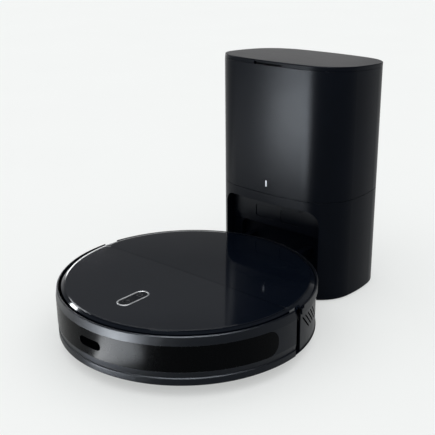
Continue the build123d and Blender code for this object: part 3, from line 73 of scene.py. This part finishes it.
# Top covers, whose gloss turns down near the outer edge
COVER_FADE = (148.0 * MM, 156.0 * MM)    # distances from the robot's axis where the turn starts and is full
COVER_EDGE = 5.0 * MM    # radius of the turn
COVER_TURN = 0.65        # share of a quarter round
COVER_FLAT = 0.98        # least upward part of the normal on the top face
MIX_A, MIX_B, MIX_RESULT = 4, 5, 1       # a Mix node's sockets for vectors

# Floor
FLOOR_SIZE = 60
FLOOR_TONES = ((0.9, 0.917, 0.909), (0.91, 0.927, 0.919))
FLOOR_PALE = (0.905, 0.922, 0.914, 1.0)
SHADOW_LIGHTENED = 0.5

# Light: strength of the world by the height of a direction, from the horizon at 0 to straight up at 1
WORLD_FADE = ((0, 0.9), (0.32, 0.2), (0.38, 0.19), (0.47, 0.25), (0.6, 0.16), (1, 0.16))
SUN_STRENGTH = 2.52
SUN_SPREAD = 120         # degrees
SET_MIDDLE = (0, 0, 0.12)
FLOOR_LAMPS = (          # name, start, end, width, radiance
    ("near_strip", (0.025, -0.305), (-0.07, -0.6), 0.12, 55.0),
    ("far_strip", (-0.25, -0.74), (-0.38, -1.35), 0.72, 132.0),
    ("left_strip", (-0.42, -0.15), (-1.2, -0.8), 0.45, 3.0),
)
SOFTBOXES = (            # name, azimuth, elevation, distance, width, height, radiance
    ("rim_front", 35, 60, 1.8, 1.5, 0.45, 60.0),
    ("rim_left", -70, 28, 1.8, 0.8, 0.2, 25.0),
    ("shoulder_low", -116, 9, 1.8, 0.5, 0.44, 7.0),
    ("shoulder_high", -97, 33, 1.8, 0.4, 0.4, 5.0),
    ("lid_glow", -134, 6, 2.2, 1.5, 0.3, 0.4),
)

# Camera
CAMERA_PLACE = (0.69563, -0.81171, 0.52462)
CAMERA_AZIMUTH = 39.57
CAMERA_DOWN = 19.95
FOCAL = 68.71
SENSOR = 36
SHIFT_X = -0.0569

# Dust bag
BAG_RINGS = 28
BAG_POINTS = 96
BAG_RISE = 0.94          # share of its box's height
BAG_FOLD = 0.02          # depth of the folds that close its ends, as a share of its rise
BAG_LIFT = 1.5           # height of its foot in its box, in folds
BAG_ENDS = (0.96, 0.85, 0.6, 0.25)       # sizes of the rings in a fold
FOOT_DRAW = 0.10         # share by which the foot is drawn in
TOP_DRAW = 0.16
BAG_PLEATS = 9           # on each half
PLEAT_DEPTH = 0.035
CRUMPLE_DEPTH = 0.03
SQUARE_ACROSS = 0.45     # powers that square the plan, where 1 leaves it round
SQUARE_BACK = 0.5
TOP_SAG = 0.05           # shares of the rise
CRUMPLE_SAG = 0.015

# Main brush
BRUSH_CORE_R = 8.0 * MM
BRUSH_CAP_R = 1.25 * BRUSH_CORE_R
BRUSH_ROOT_R = 0.9 * BRUSH_CORE_R        # inside the core, where strips and bristles start
BRUSH_TIP_R = 18.8 * MM
BRUSH_END = 5.5 * MM     # axle stub beyond the brush
BRUSH_AXLE_R = 3.0 * MM
BRUSH_FLANGE = 0.8 * MM
PULLEY_R = 6.9 * MM
PULLEY_W = 7.0 * MM
CHEVRON = 55.0           # degrees that each strip turns from its end to the middle
FIN_STEPS = 40
FIN_ROOT = 0.11          # half of a strip's thickness, in radians round the axis
FIN_TIP = 0.035
ROW_BRISTLES = 112
ROW_STAGGER = 0.05       # radians
ROW_LEAN = 0.04          # radians
ROW_LEAN_WAVE = 2.3      # radians per bristle, so that neighbours differ
ROW_REACH_WAVE = 5.0
BRISTLE_W = 1.3 * MM
TIP_UNEVEN = 0.03        # share by which bristles differ in reach

# Side brush
SIDE_HUB_R = 12.0 * MM
SIDE_HUB_H = 8.6 * MM
SIDE_HUB_EDGE = 1.2 * MM
SIDE_SHAFT_R = 3.0 * MM
SIDE_REACH = 46.0 * MM
STEM_END = 0.42 * SIDE_REACH
STEM = (                 # distance from the hub's axis, half width and height
    (0.6 * SIDE_HUB_R, 3.4 * MM, 3.0 * MM),
    (0.8 * STEM_END, 3.0 * MM, 2.6 * MM),
    (STEM_END, 3.8 * MM, 2.2 * MM),
)
TUFT_BRISTLES = 34
TUFT_SPREAD = 9.0        # degrees each way
TUFT_WOBBLE = 1.8        # degrees
TUFT_WOBBLE_WAVE = 4.1   # radians per bristle
TUFT_REACH_WAVE = 7.0
TUFT_ROOT = 0.92 * STEM_END
TUFT_HALF = 3.2 * MM
TUFT_LIFTS = (1.0 * MM, 1.8 * MM)        # heights of the two layers of bristles at their roots
TUFT_TIP_LIFT = 0.4 * MM
TUFT_BRISTLE_W = 0.8 * MM

# Screws, each on both sides of the middle: distances from the robot's axis in millimetres
CHASSIS_SCREWS = ((70, -128), (148, 40), (60, 140), (75, 78), (60, -30))
HATCH_SCREWS = ((38, -81),)
DOCK_SCREWS = ((84, 250), (30, 186), (30, 318))
SCREW_R = 3.2 * MM
SCREW_RISE = 0.7 * MM
SCREW_SECTORS = 32
SCREW_DOME = (           # shares of the radius and of the rise, from the rim inwards
    (1.0, 0.0), (0.97, 0.45), (0.8, 0.8), (0.55, 0.95), (0.4, 1.0), (0.22, 1.0), (0.08, 1.0))
CROSS_REACH = 0.6        # shares of the radius
CROSS_HALF = 0.12
CROSS_FLOOR = 0.35       # share of the rise

# Marks on the rocker button
MARK_SIZE = 4.2 * MM
MARK_W = 0.7 * MM
MARK_SINK = 0.05 * MM
MARK_PROUD = 0.08 * MM
MARK_REACH = 0.27        # distance from the button's middle, as a share of its length
POWER_START = 125        # degrees
POWER_SWEEP = 290
POWER_STEPS = 20
POWER_BAR = (0.3, 1.2)   # shares of the mark's size
HOUSE = ((-1, -0.9), (-1, 0.1), (0, 1), (1, 0.1), (1, -0.9), (-1, -0.9))
HOUSE_SIZE = 0.85 * MARK_SIZE


# Node helpers

def new_material(name):
    """Start a finish and keep it under its name."""
    material = bpy.data.materials.new(name)
    material.use_nodes = True
    SLOTS[name] = material
    tree = material.node_tree
    return tree, tree.nodes["Principled BSDF"]


def set_values(node, values):
    for name, value in values.items():
        node.inputs[name].default_value = value


def add(tree, kind, **values):
    node = tree.nodes.new(kind)
    set_values(node, values)
    return node


def maths(tree, operation, *values):
    """Math node on sockets and numbers."""
    node = tree.nodes.new("ShaderNodeMath")
    node.operation = operation
    for socket, value in zip(node.inputs, values):
        if isinstance(value, float):
            socket.default_value = value
        else:
            tree.links.new(value, socket)
    return node.outputs["Value"]


def vector_maths(tree, operation, vector, result):
    node = tree.nodes.new("ShaderNodeVectorMath")
    node.operation = operation
    tree.links.new(vector, node.inputs[0])
    return node.outputs[result]


def place(tree, stretch=(1, 1, 1), shift=(0, 0, 0)):
    """Coordinates in metres on the object, stretched and shifted."""
    where = tree.nodes.new("ShaderNodeTexCoord")
    mapping = add(tree, "ShaderNodeMapping", Scale=stretch, Location=shift)
    tree.links.new(where.outputs["Object"], mapping.inputs["Vector"])
    return mapping.outputs["Vector"]


def noise(tree, where, scale=1.0, detail=2.0):
    node = add(tree, "ShaderNodeTexNoise", Scale=scale, Detail=detail)
    tree.links.new(where, node.inputs["Vector"])
    return node.outputs["Fac"]


def spread(tree, factor, band, low, high):
    """Value that goes from low to high while the factor crosses its band."""
    node = tree.nodes.new("ShaderNodeMapRange")
    set_values(node, {"From Min": band[0], "From Max": band[1], "To Min": low, "To Max": high})
    tree.links.new(factor, node.inputs["Value"])
    return node.outputs["Result"]


def two_tone(tree, shader, factor, tones):
    ramp = tree.nodes.new("ShaderNodeValToRGB")
    for element, position, tone in zip(ramp.color_ramp.elements, TONE_BAND, tones):
        element.position = position
        element.color = (*tone, 1)
    tree.links.new(factor, ramp.inputs["Fac"])
    tree.links.new(ramp.outputs["Color"], shader.inputs["Base Color"])


def roughen(tree, shader, factor, least, most):
    tree.links.new(spread(tree, factor, GLOSS_BAND, least, most), shader.inputs["Roughness"])


def bump(tree, shader, height, depth, strength=1.0, edge=0.0):
    """Relief in metres, over edges softened by a small radius."""
    node = add(tree, "ShaderNodeBump", Strength=strength, Distance=depth)
    tree.links.new(height, node.inputs["Height"])
    if edge:
        rounding = add(tree, "ShaderNodeBevel", Radius=edge)
        rounding.samples = 4
        tree.links.new(rounding.outputs["Normal"], node.inputs["Normal"])
    tree.links.new(node.outputs["Normal"], shader.inputs["Normal"])


# Finishes

def plastic(name, tones, roughness, uneven, grain, depth, specular, edge=SOFT_EDGE):
    """Moulded plastic: two close tones, uneven gloss and a fine grain."""
    tree, shader = new_material(name)
    where = place(tree)
    two_tone(tree, shader, noise(tree, where, scale=14.0, detail=4.0), tones)
    wipe = noise(tree, place(tree, WIPE), detail=3.0)
    roughen(tree, shader, wipe, roughness - uneven, roughness + uneven)
    bump(tree, shader, noise(tree, where, grain), depth, edge=edge)
    set_values(shader, {"Specular IOR Level": specular, "Specular Tint": COOL})


def metal(name, tones, roughness, stretch, metallic=1.0):
    """Drawn or rolled metal with fine lines, or silver paint where it isn't fully metallic."""
    tree, shader = new_material(name)
    lines = noise(tree, place(tree, stretch), detail=4.0)
    two_tone(tree, shader, lines, tones)
    roughen(tree, shader, lines, 0.7 * roughness, 1.3 * roughness)
    bump(tree, shader, lines, depth=0.02 * MM)
    set_values(shader, {"Metallic": metallic})


def rubber(name, tones, grain):
    """Dull rubber with a coarse grain."""
    tree, shader = new_material(name)
    where = place(tree)
    two_tone(tree, shader, noise(tree, where, scale=40.0, detail=5.0), tones)
    roughen(tree, shader, noise(tree, where, scale=120.0), least=0.6, most=0.85)
    bump(tree, shader, noise(tree, where, grain), depth=0.2 * MM, strength=0.6)
    set_values(shader, {"Specular IOR Level": 0.25})


def paper(name, tones, stretch):
    """Non-woven fibre sheet with crossing fibres."""
    tree, shader = new_material(name)
    turned = (stretch[2], stretch[0], stretch[1])
    along, across = (noise(tree, place(tree, way), detail=6.0) for way in (stretch, turned))
    fibres = maths(tree, "MAXIMUM", along, across)
    two_tone(tree, shader, fibres, tones)
    bump(tree, shader, fibres, depth=0.3 * MM, strength=0.7)
    set_values(shader, {"Roughness": 0.9, "Sheen Weight": 0.2})


def glow(name, colour, strength):
    """Lens that is lit from behind."""
    shader = new_material(name)[1]
    set_values(shader, {"Base Color": (*colour, 1), "Emission Color": (*colour, 1),
                        "Emission Strength": strength, "Roughness": 0.3})


def turned_edge(tree):
    """Bevel normal whose radius grows towards the covers' outer edge."""
    level = place(tree, stretch=(1, 1, 0), shift=(0, -ROBOT_Y, 0))
    distance = vector_maths(tree, "LENGTH", level, "Value")
    rounding = tree.nodes.new("ShaderNodeBevel")
    rounding.samples = 8
    tree.links.new(spread(tree, distance, COVER_FADE, 0.0, COVER_EDGE), rounding.inputs["Radius"])
    return rounding.outputs["Normal"]


def cover_normal(tree):
    """The true normal, blended with the turned edge on the top face."""
    true = tree.nodes.new("ShaderNodeNewGeometry").outputs["Normal"]
    split = tree.nodes.new("ShaderNodeSeparateXYZ")
    tree.links.new(true, split.inputs["Vector"])
    on_top = maths(tree, "GREATER_THAN", split.outputs["Z"], COVER_FLAT)
    blend = tree.nodes.new("ShaderNodeMix")
    blend.data_type = "VECTOR"
    tree.links.new(maths(tree, "MULTIPLY", on_top, COVER_TURN), blend.inputs["Factor"])
    tree.links.new(true, blend.inputs[MIX_A])
    tree.links.new(turned_edge(tree), blend.inputs[MIX_B])
    return vector_maths(tree, "NORMALIZE", blend.outputs[MIX_RESULT], "Vector")


def soft_cover(name, finish, specular):
    """A plastic finish for a cover whose round edge turns down softly."""
    material = SLOTS[finish].copy()
    material.name = name
    SLOTS[name] = material
    tree = material.node_tree
    relief = next(node for node in tree.nodes if node.type == "BUMP")
    tree.links.new(cover_normal(tree), relief.inputs["Normal"])
    set_values(tree.nodes["Principled BSDF"], {"Specular IOR Level": specular})


def make_plastics():
    plastic("gloss_black", ((0.002, 0.0035, 0.007), (0.003, 0.0045, 0.0085)),
            roughness=0.07, uneven=0.01, grain=60, depth=0.01 * MM, specular=0.4, edge=0.0)
    plastic("satin_black", NAVY_TONES,
            roughness=0.32, uneven=0.012, grain=1400, depth=0.03 * MM, specular=0.04)
    plastic("bumper_black", NAVY_TONES,
            roughness=0.4, uneven=0.04, grain=1400, depth=0.03 * MM, specular=0.13)
    plastic("fascia_black", NAVY_TONES,
            roughness=0.3, uneven=0.03, grain=1400, depth=0.03 * MM, specular=0.09)
    plastic("dark_window", WINDOW_TONES,
            roughness=0.27, uneven=0.02, grain=90, depth=0.01 * MM, specular=0.03)
    plastic("slot_black", WINDOW_TONES,
            roughness=0.5, uneven=0.02, grain=90, depth=0.01 * MM, specular=0.0)
    plastic("grey_plastic", ((0.06, 0.062, 0.066), (0.08, 0.082, 0.086)),
            roughness=0.45, uneven=0.06, grain=1100, depth=0.05 * MM, specular=0.15)
    plastic("brush_blue", ((0.02, 0.035, 0.08), (0.035, 0.055, 0.12)),
            roughness=0.5, uneven=0.08, grain=900, depth=0.06 * MM, specular=0.15)
    plastic("board_green", ((0.01, 0.08, 0.035), (0.02, 0.13, 0.055)),
            roughness=0.35, uneven=0.08, grain=500, depth=0.04 * MM, specular=0.15)
    plastic("battery_wrap", ((0.02, 0.024, 0.04), (0.03, 0.034, 0.05)),
            roughness=0.35, uneven=0.06, grain=200, depth=0.1 * MM, specular=0.15)
    soft_cover("cover_black", "gloss_black", specular=0.4)
    soft_cover("front_cover_black", "gloss_black", specular=0.5)


def make_other_finishes():
    metal("chrome_trim", ((0.26, 0.268, 0.28), (0.31, 0.318, 0.33)),
          roughness=0.5, stretch=(90, 90, 90), metallic=0.25)
    metal("dark_metal", ((0.3, 0.3, 0.31), (0.42, 0.42, 0.43)), roughness=0.32, stretch=(40, 900, 900))
    metal("spring_steel", ((0.4, 0.4, 0.41), (0.55, 0.55, 0.56)), roughness=0.25, stretch=(900, 900, 60))
    metal("contact_metal", ((0.5, 0.48, 0.44), (0.62, 0.6, 0.54)), roughness=0.2, stretch=(700, 60, 60))
    rubber("rubber_black", ((0.009, 0.009, 0.01), (0.014, 0.014, 0.015)), grain=700)
    rubber("tyre_rubber", ((0.012, 0.012, 0.012), (0.022, 0.022, 0.022)), grain=500)
    paper("filter_white", ((0.6, 0.61, 0.6), (0.78, 0.79, 0.78)), stretch=(300, 300, 2000))
    paper("bag_paper", ((0.56, 0.55, 0.51), (0.74, 0.73, 0.69)), stretch=(140, 140, 1200))
    glow("light_white", (0.85, 0.9, 1.0), strength=0.2)


def dress_nodes():
    for entry in RECORD["subparts"]:
        finish = OWN_FINISH.get(entry["node"], entry["material_slot"])
        mesh = NODES[entry["node"]].data
        mesh.materials.clear()
        mesh.materials.append(SLOTS[finish])


# Places and mesh helpers

def joint_place(name):
    joints = RECORD["behaviour"]["joints"]
    return Vector(next(joint["pos_m"] for joint in joints if joint["name"] == name))


def turns(count):
    """Angles of equally many steps round a circle."""
    return [2 * math.pi * step / count for step in range(count)]


def circle_x(x, radius, points=32):
    """Ring of points round the X axis."""
    return [(x, radius * math.cos(turn), radius * math.sin(turn)) for turn in turns(points)]


def circle_z(z, radius, points=32):
    """Ring of points round the Z axis."""
    return [(radius * math.cos(turn), radius * math.sin(turn), z) for turn in turns(points)]


def loft(rings):
    """Closed skin over rings of equally many points, as points and faces."""
    count = len(rings[0])
    points = [point for ring in rings for point in ring]
    faces = []
    for row in range(len(rings) - 1):
        low = row * count
        for step in range(count):
            after = (step + 1) % count
            faces.append((low + step, low + after, low + count + after, low + count + step))
    faces.append(tuple(reversed(range(count))))
    faces.append(tuple(range(len(points) - count, len(points))))
    return points, faces


def join(shapes):
    points = []
    faces = []
    for shape_points, shape_faces in shapes:
        start = len(points)
        points += shape_points
        faces += [tuple(start + corner for corner in face) for face in shape_faces]
    return points, faces


def make_piece(name, shape, slot, body, middle=(0, 0, 0), sharp=40.0):
    """New piece on its body, with edges over the sharp angle kept crisp."""
    mesh = bpy.data.meshes.new(name)
    mesh.from_pydata([Vector(middle) + Vector(point) for point in shape[0]], [], shape[1])
    work = bmesh.new()
    work.from_mesh(mesh)
    bmesh.ops.recalc_face_normals(work, faces=work.faces)
    work.to_mesh(mesh)
    work.free()
    mesh.shade_smooth()
    mesh.set_sharp_from_angle(angle=math.radians(sharp))
    mesh.materials.append(SLOTS[slot])
    piece = bpy.data.objects.new(name, mesh)
    bpy.context.scene.collection.objects.link(piece)
    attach(piece, body)
    return piece


def spike(base, tip, width):
    """One bristle: a three-sided bar that thins to its tip."""
    base = Vector(base)
    tip = Vector(tip)
    along = (tip - base).normalized()
    side = along.orthogonal().normalized()
    rings = []
    for centre, radius in ((base, width / 2), (tip, width / 6)):
        ring = []
        for turn in turns(3):
            ring.append(tuple(centre + radius * (Matrix.Rotation(turn, 3, along) @ side)))
        rings.append(ring)
    return loft(rings)


def tip_share(wave):
    """Reach of a bristle as a share of the full reach."""
    return 1 - TIP_UNEVEN + TIP_UNEVEN * math.sin(wave)


# Dust bag

def bag_ring(t, half, depth, rise):
    """Level t of the bag, from 0 at the foot to 1 at the top, where it is drawn in and pleated."""
    swell = 1.0 - FOOT_DRAW * (1 - t) ** 6 - TOP_DRAW * t ** 3
    ring = []
    for turn in turns(BAG_POINTS):
        across = math.cos(turn)
        back = math.sin(turn)
        pleat = 0.5 + 0.5 * math.cos(2 * BAG_PLEATS * turn)
        crumple = 0.5 + 0.5 * math.sin(7 * turn + 9 * t) * math.sin(5 * turn - 13 * t)
        draw = swell * (1 - PLEAT_DEPTH * pleat * (0.3 + t) - CRUMPLE_DEPTH * crumple)
        x = half * draw * math.copysign(abs(across) ** SQUARE_ACROSS, across)
        y = depth * draw * math.copysign(abs(back) ** SQUARE_BACK, back)
        sag = TOP_SAG * rise * t ** 4 * (1 - abs(across)) + CRUMPLE_SAG * rise * crumple * t
        ring.append((x, y, rise * t - sag))
    return ring


def bag_end(ring, scale, lift):
    """Smaller ring inside an end, so that the end closes as a soft fold."""
    return [(x * scale, y * scale, z + lift) for x, y, z in ring]


def make_dust_bag():
    low, high = (Vector(corner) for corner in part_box("dust_bag"))
    half, depth = (high.x - low.x) / 2, (high.y - low.y) / 2
    rise = BAG_RISE * (high.z - low.z)
    fold = BAG_FOLD * rise
    rings = [bag_ring(step / BAG_RINGS, half, depth, rise) for step in range(BAG_RINGS + 1)]
    bottom = [bag_end(rings[0], scale, -fold * (1 - scale)) for scale in reversed(BAG_ENDS)]
    top = [bag_end(rings[-1], scale, fold * (1 - scale)) for scale in BAG_ENDS]
    middle = ((low.x + high.x) / 2, (low.y + high.y) / 2, low.z + BAG_LIFT * fold)
    shape = loft(bottom + rings + top)
    bag = make_piece("dust_bag_sack", shape, "bag_paper", "dock", middle, sharp=80.0)
    bag.modifiers.new("soft", "SUBSURF").render_levels = 1
    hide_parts("dust_bag")


# Main brush

def brush_angle(start, x, half):
    return math.radians(start + CHEVRON * (1 - abs(x) / half))


def fin(start, half):
    """Rubber strip that follows a flat V round the core."""
    section = ((BRUSH_ROOT_R, -FIN_ROOT), (BRUSH_TIP_R, -FIN_TIP),
               (BRUSH_TIP_R, FIN_TIP), (BRUSH_ROOT_R, FIN_ROOT))
    rings = []
    for step in range(FIN_STEPS + 1):
        x = half * (2 * step / FIN_STEPS - 1)
        turn = brush_angle(start, x, half)
        ring = []
        for radius, lean in section:
            ring.append((x, radius * math.cos(turn + lean), radius * math.sin(turn + lean)))
        rings.append(ring)
    return loft(rings)


def bristle_row(start, half):
    """Tufts along the same V, in two staggered lines."""
    row = []
    for step in range(ROW_BRISTLES):
        x = half * (2 * (step + 0.5) / ROW_BRISTLES - 1)
        turn = brush_angle(start, x, half) + (ROW_STAGGER if step % 2 else -ROW_STAGGER)
        reach = BRUSH_TIP_R * tip_share(ROW_REACH_WAVE * step)
        lean = ROW_LEAN * math.sin(ROW_LEAN_WAVE * step)
        root = (x, BRUSH_ROOT_R * math.cos(turn), BRUSH_ROOT_R * math.sin(turn))
        tip = (x, reach * math.cos(turn + lean), reach * math.sin(turn + lean))
        row.append(spike(root, tip, BRISTLE_W))
    return row


def brush_core(low, high, half):
    """Axle, end caps, core tube and the belt's pulley in one turned shape."""
    inner = half - 2 * BRUSH_FLANGE
    pulley = high - PULLEY_W
    profile = [(low, 0.8 * BRUSH_AXLE_R), (low + BRUSH_FLANGE, BRUSH_AXLE_R), (-half, BRUSH_AXLE_R),
               (-half, BRUSH_CAP_R), (-inner, BRUSH_CAP_R), (-inner, BRUSH_CORE_R),
               (inner, BRUSH_CORE_R), (inner, BRUSH_CAP_R), (half, BRUSH_CAP_R),
               (half, BRUSH_AXLE_R), (pulley, BRUSH_AXLE_R), (pulley, PULLEY_R),
               (high - BRUSH_FLANGE, PULLEY_R), (high, PULLEY_R - BRUSH_FLANGE)]
    return loft([circle_x(x, radius) for x, radius in profile])


def make_main_brush():
    low, high = (corner[0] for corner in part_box("main_brush"))
    half = -low - BRUSH_END
    middle = joint_place("main_brush_spin")
    shapes = [brush_core(low, high, half)]
    for start in (0, 120, 240):
        shapes.append(fin(start, half))
        shapes += bristle_row(start + 60, half)
    brush = make_piece("chevron_brush", join(shapes), "brush_blue", "roller_brush", middle)
    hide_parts("main_brush")


# Side brush

def stem(turn, low):
    """Arm of the side brush that holds a tuft."""
    rings = []
    for away, half, rise in STEM:
        ring = [(away, -half, low), (away, half, low), (away, half, low + rise), (away, -half, low + rise)]
        rings.append([tuple(turn @ Vector(point)) for point in ring])
    return loft(rings)


def tuft(turn, low):
    """Fan of bristles at a stem's end."""
    bristles = []
    for step in range(TUFT_BRISTLES):
        share = 2 * (step + 0.5) / TUFT_BRISTLES - 1
        lean = math.radians(TUFT_SPREAD * share + TUFT_WOBBLE * math.sin(TUFT_WOBBLE_WAVE * step))
        reach = SIDE_REACH * tip_share(TUFT_REACH_WAVE * step)
        root = (TUFT_ROOT, TUFT_HALF * share, low + TUFT_LIFTS[step % 2])
        tip = (reach * math.cos(lean), reach * math.sin(lean), low + TUFT_TIP_LIFT)
        bristles.append(spike(turn @ Vector(root), turn @ Vector(tip), TUFT_BRISTLE_W))
    return bristles


def side_hub(low, high):
    """Hub with rounded edges and the shaft above it."""
    edge = SIDE_HUB_EDGE
    top = low + SIDE_HUB_H
    profile = [(low, SIDE_HUB_R - 2 * edge), (low + edge, SIDE_HUB_R), (top - edge, SIDE_HUB_R),
               (top, SIDE_HUB_R - edge), (top, SIDE_SHAFT_R), (high, SIDE_SHAFT_R)]
    return loft([circle_z(z, radius) for z, radius in profile])


def make_side_brush():
    low, high = (corner[2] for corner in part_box("side_brush"))
    axis = joint_place("side_brush_spin")
    middle = (axis.x, axis.y, 0)
    inward = math.atan2(ROBOT_Y - axis.y, -axis.x)
    shapes = [side_hub(low, high)]
    for start in turns(3):
        turn = Matrix.Rotation(inward + start, 3, "Z")
        shapes.append(stem(turn, low))
        shapes += tuft(turn, low)
    brush = make_piece("bristled_side_brush", join(shapes), "brush_blue", "side_sweeper", middle)
    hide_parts("side_brush")


# Screws

def screw_head():
    """Domed head with a cross recess, facing -Z."""
    rings = []
    for share, drop in SCREW_DOME:
        ring = []
        for turn in turns(SCREW_SECTORS):
            across = math.cos(turn)
            back = math.sin(turn)
            in_cross = share < CROSS_REACH and share * min(abs(across), abs(back)) < CROSS_HALF
            depth = CROSS_FLOOR if in_cross else drop
            ring.append((share * SCREW_R * across, share * SCREW_R * back, -depth * SCREW_RISE))
        rings.append(ring)
    return loft(rings)


def make_screws(name, places, node, body):
    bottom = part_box(node)[0][2]
    points, faces = screw_head()
    heads = []
    for x, y in places:
        for side in (-x, x):
            shift = Vector((side * MM, ROBOT_Y + y * MM, bottom))
            heads.append(([tuple(Vector(point) + shift) for point in points], faces))
    make_piece(name, join(heads), "dark_metal", body)


# Marks on the rocker button

def stroke(start, end, low, high):
    """Flat bar between two points."""
    start = Vector((*start, 0))
    end = Vector((*end, 0))
    along = (end - start).normalized() * MARK_W / 2
    side = Vector((-along.y, along.x, 0))
    corners = [start - along - side, end + along - side, end + along + side, start - along + side]
    return loft([[(corner.x, corner.y, z) for corner in corners] for z in (low, high)])


def power_lines(y):
    """Open ring and its bar."""
    steps = range(POWER_STEPS + 1)
    angles = [math.radians(POWER_START + POWER_SWEEP * step / POWER_STEPS) for step in steps]
    ring = [(MARK_SIZE * math.cos(angle), y + MARK_SIZE * math.sin(angle)) for angle in angles]
    bar = [(0, y + share * MARK_SIZE) for share in POWER_BAR]
    return [ring, bar]


def house_line(y):
    return [(HOUSE_SIZE * across, y + HOUSE_SIZE * back) for across, back in HOUSE]


def make_button_marks():
    low, high = (Vector(corner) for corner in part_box("rocker_button"))
    middle = (low.y + high.y) / 2
    reach = MARK_REACH * (high.y - low.y)
    shapes = []
    for line in (*power_lines(middle - reach), house_line(middle + reach)):
        for start, end in zip(line[:-1], line[1:]):
            shapes.append(stroke(start, end, high.z - MARK_SINK, high.z + MARK_PROUD))
    make_piece("button_marks", join(shapes), "grey_plastic", "button")


# Stage

def lighten_shadow(tree, shader):
    """Part of what the camera, reflections and glass show of the floor is its own pale colour."""
    rays = tree.nodes.new("ShaderNodeLightPath").outputs
    bent = maths(tree, "MAXIMUM", rays["Is Glossy Ray"], rays["Is Transmission Ray"])
    seen = maths(tree, "MAXIMUM", rays["Is Camera Ray"], bent)
    pale = add(tree, "ShaderNodeEmission", Color=FLOOR_PALE)
    mix = tree.nodes.new("ShaderNodeMixShader")
    tree.links.new(maths(tree, "MULTIPLY", seen, SHADOW_LIGHTENED), mix.inputs["Fac"])
    tree.links.new(shader.outputs["BSDF"], mix.inputs[1])
    tree.links.new(pale.outputs["Emission"], mix.inputs[2])
    tree.links.new(mix.outputs["Shader"], tree.nodes["Material Output"].inputs["Surface"])


def make_floor():
    bpy.ops.mesh.primitive_plane_add(size=FLOOR_SIZE, location=(0, 0, 0))
    floor = bpy.context.object
    floor.name = "floor"
    tree, shader = new_material("floor_pale")
    two_tone(tree, shader, noise(tree, place(tree), scale=3.0), FLOOR_TONES)
    set_values(shader, {"Roughness": 0.9, "Specular IOR Level": 0.0})
    lighten_shadow(tree, shader)
    floor.data.materials.append(SLOTS["floor_pale"])


def reflected_lamp(name, width, length, radiance):
    """Area lamp that only reflections show."""
    data = bpy.data.lights.new(name, "AREA")
    data.shape = "RECTANGLE"
    data.size = width
    data.size_y = length
    data.energy = radiance * width * length * math.pi
    lamp = bpy.data.objects.new(name, data)
    lamp.visible_camera = False
    lamp.visible_diffuse = False
    bpy.context.scene.collection.objects.link(lamp)
    return lamp


def floor_lamp(name, start, end, width, radiance):
    """Lamp that lies on the floor from start to end and faces up."""
    along = Vector((end[0] - start[0], end[1] - start[1]))
    lamp = reflected_lamp(name, width, along.length, radiance)
    lamp.location = ((start[0] + end[0]) / 2, (start[1] + end[1]) / 2, MM)
    lamp.rotation_euler = (math.pi, 0, math.atan2(along.x, -along.y))


def softbox(name, azimuth, elevation, distance, width, height, radiance):
    """Lamp that faces the middle of the set, its azimuth from the front towards +X."""
    turn = math.radians(azimuth)
    rise = math.radians(elevation)
    away = Vector((math.sin(turn) * math.cos(rise), -math.cos(turn) * math.cos(rise), math.sin(rise)))
    lamp = reflected_lamp(name, width, height, radiance)
    lamp.location = Vector(SET_MIDDLE) + away * distance
    lamp.rotation_euler = away.to_track_quat("Z", "Y").to_euler()


def make_world():
    """Pale near the horizon and dim overhead, as in a studio with a low backdrop."""
    world = bpy.data.worlds.new("studio")
    bpy.context.scene.world = world
    world.use_nodes = True
    tree = world.node_tree
    where = tree.nodes.new("ShaderNodeTexCoord")
    split = tree.nodes.new("ShaderNodeSeparateXYZ")
    fade = tree.nodes.new("ShaderNodeFloatCurve")
    points = fade.mapping.curves[0].points
    points[0].location = WORLD_FADE[0]
    points[1].location = WORLD_FADE[-1]
    for height, strength in WORLD_FADE[1:-1]:
        points.new(height, strength)
    for point in points:
        point.handle_type = "VECTOR"
    fade.mapping.update()
    tree.links.new(where.outputs["Generated"], split.inputs["Vector"])
    tree.links.new(split.outputs["Z"], fade.inputs["Value"])
    tree.links.new(fade.outputs["Value"], tree.nodes["Background"].inputs["Strength"])
    set_values(tree.nodes["Background"], {"Color": (1, 1, 1, 1)})


def make_sun():
    """Broad light from above that no reflection shows."""
    data = bpy.data.lights.new("overhead", "SUN")
    data.energy = SUN_STRENGTH
    data.angle = math.radians(SUN_SPREAD)
    sun = bpy.data.objects.new("overhead", data)
    sun.visible_glossy = False
    bpy.context.scene.collection.objects.link(sun)


def make_light():
    make_world()
    make_sun()
    for lamp in FLOOR_LAMPS:
        floor_lamp(*lamp)
    for lamp in SOFTBOXES:
        softbox(*lamp)
    bpy.context.scene.view_settings.view_transform = "Standard"


def make_camera():
    data = bpy.data.cameras.new("camera")
    data.lens = FOCAL
    data.sensor_width = SENSOR
    data.shift_x = SHIFT_X
    camera = bpy.data.objects.new("camera", data)
    camera.location = CAMERA_PLACE
    camera.rotation_euler = (math.radians(90 - CAMERA_DOWN), 0, math.radians(CAMERA_AZIMUTH))
    bpy.context.scene.collection.objects.link(camera)
    bpy.context.scene.camera = camera


make_plastics()
make_other_finishes()
dress_nodes()
make_dust_bag()
make_main_brush()
make_side_brush()
make_screws("chassis_screws", CHASSIS_SCREWS, "chassis_base", "robot")
make_screws("hatch_screws", HATCH_SCREWS, "battery_cover", "robot")
make_screws("dock_screws", DOCK_SCREWS, "dock_bottom_plate", "dock")
make_button_marks()
make_floor()
make_light()
make_camera()
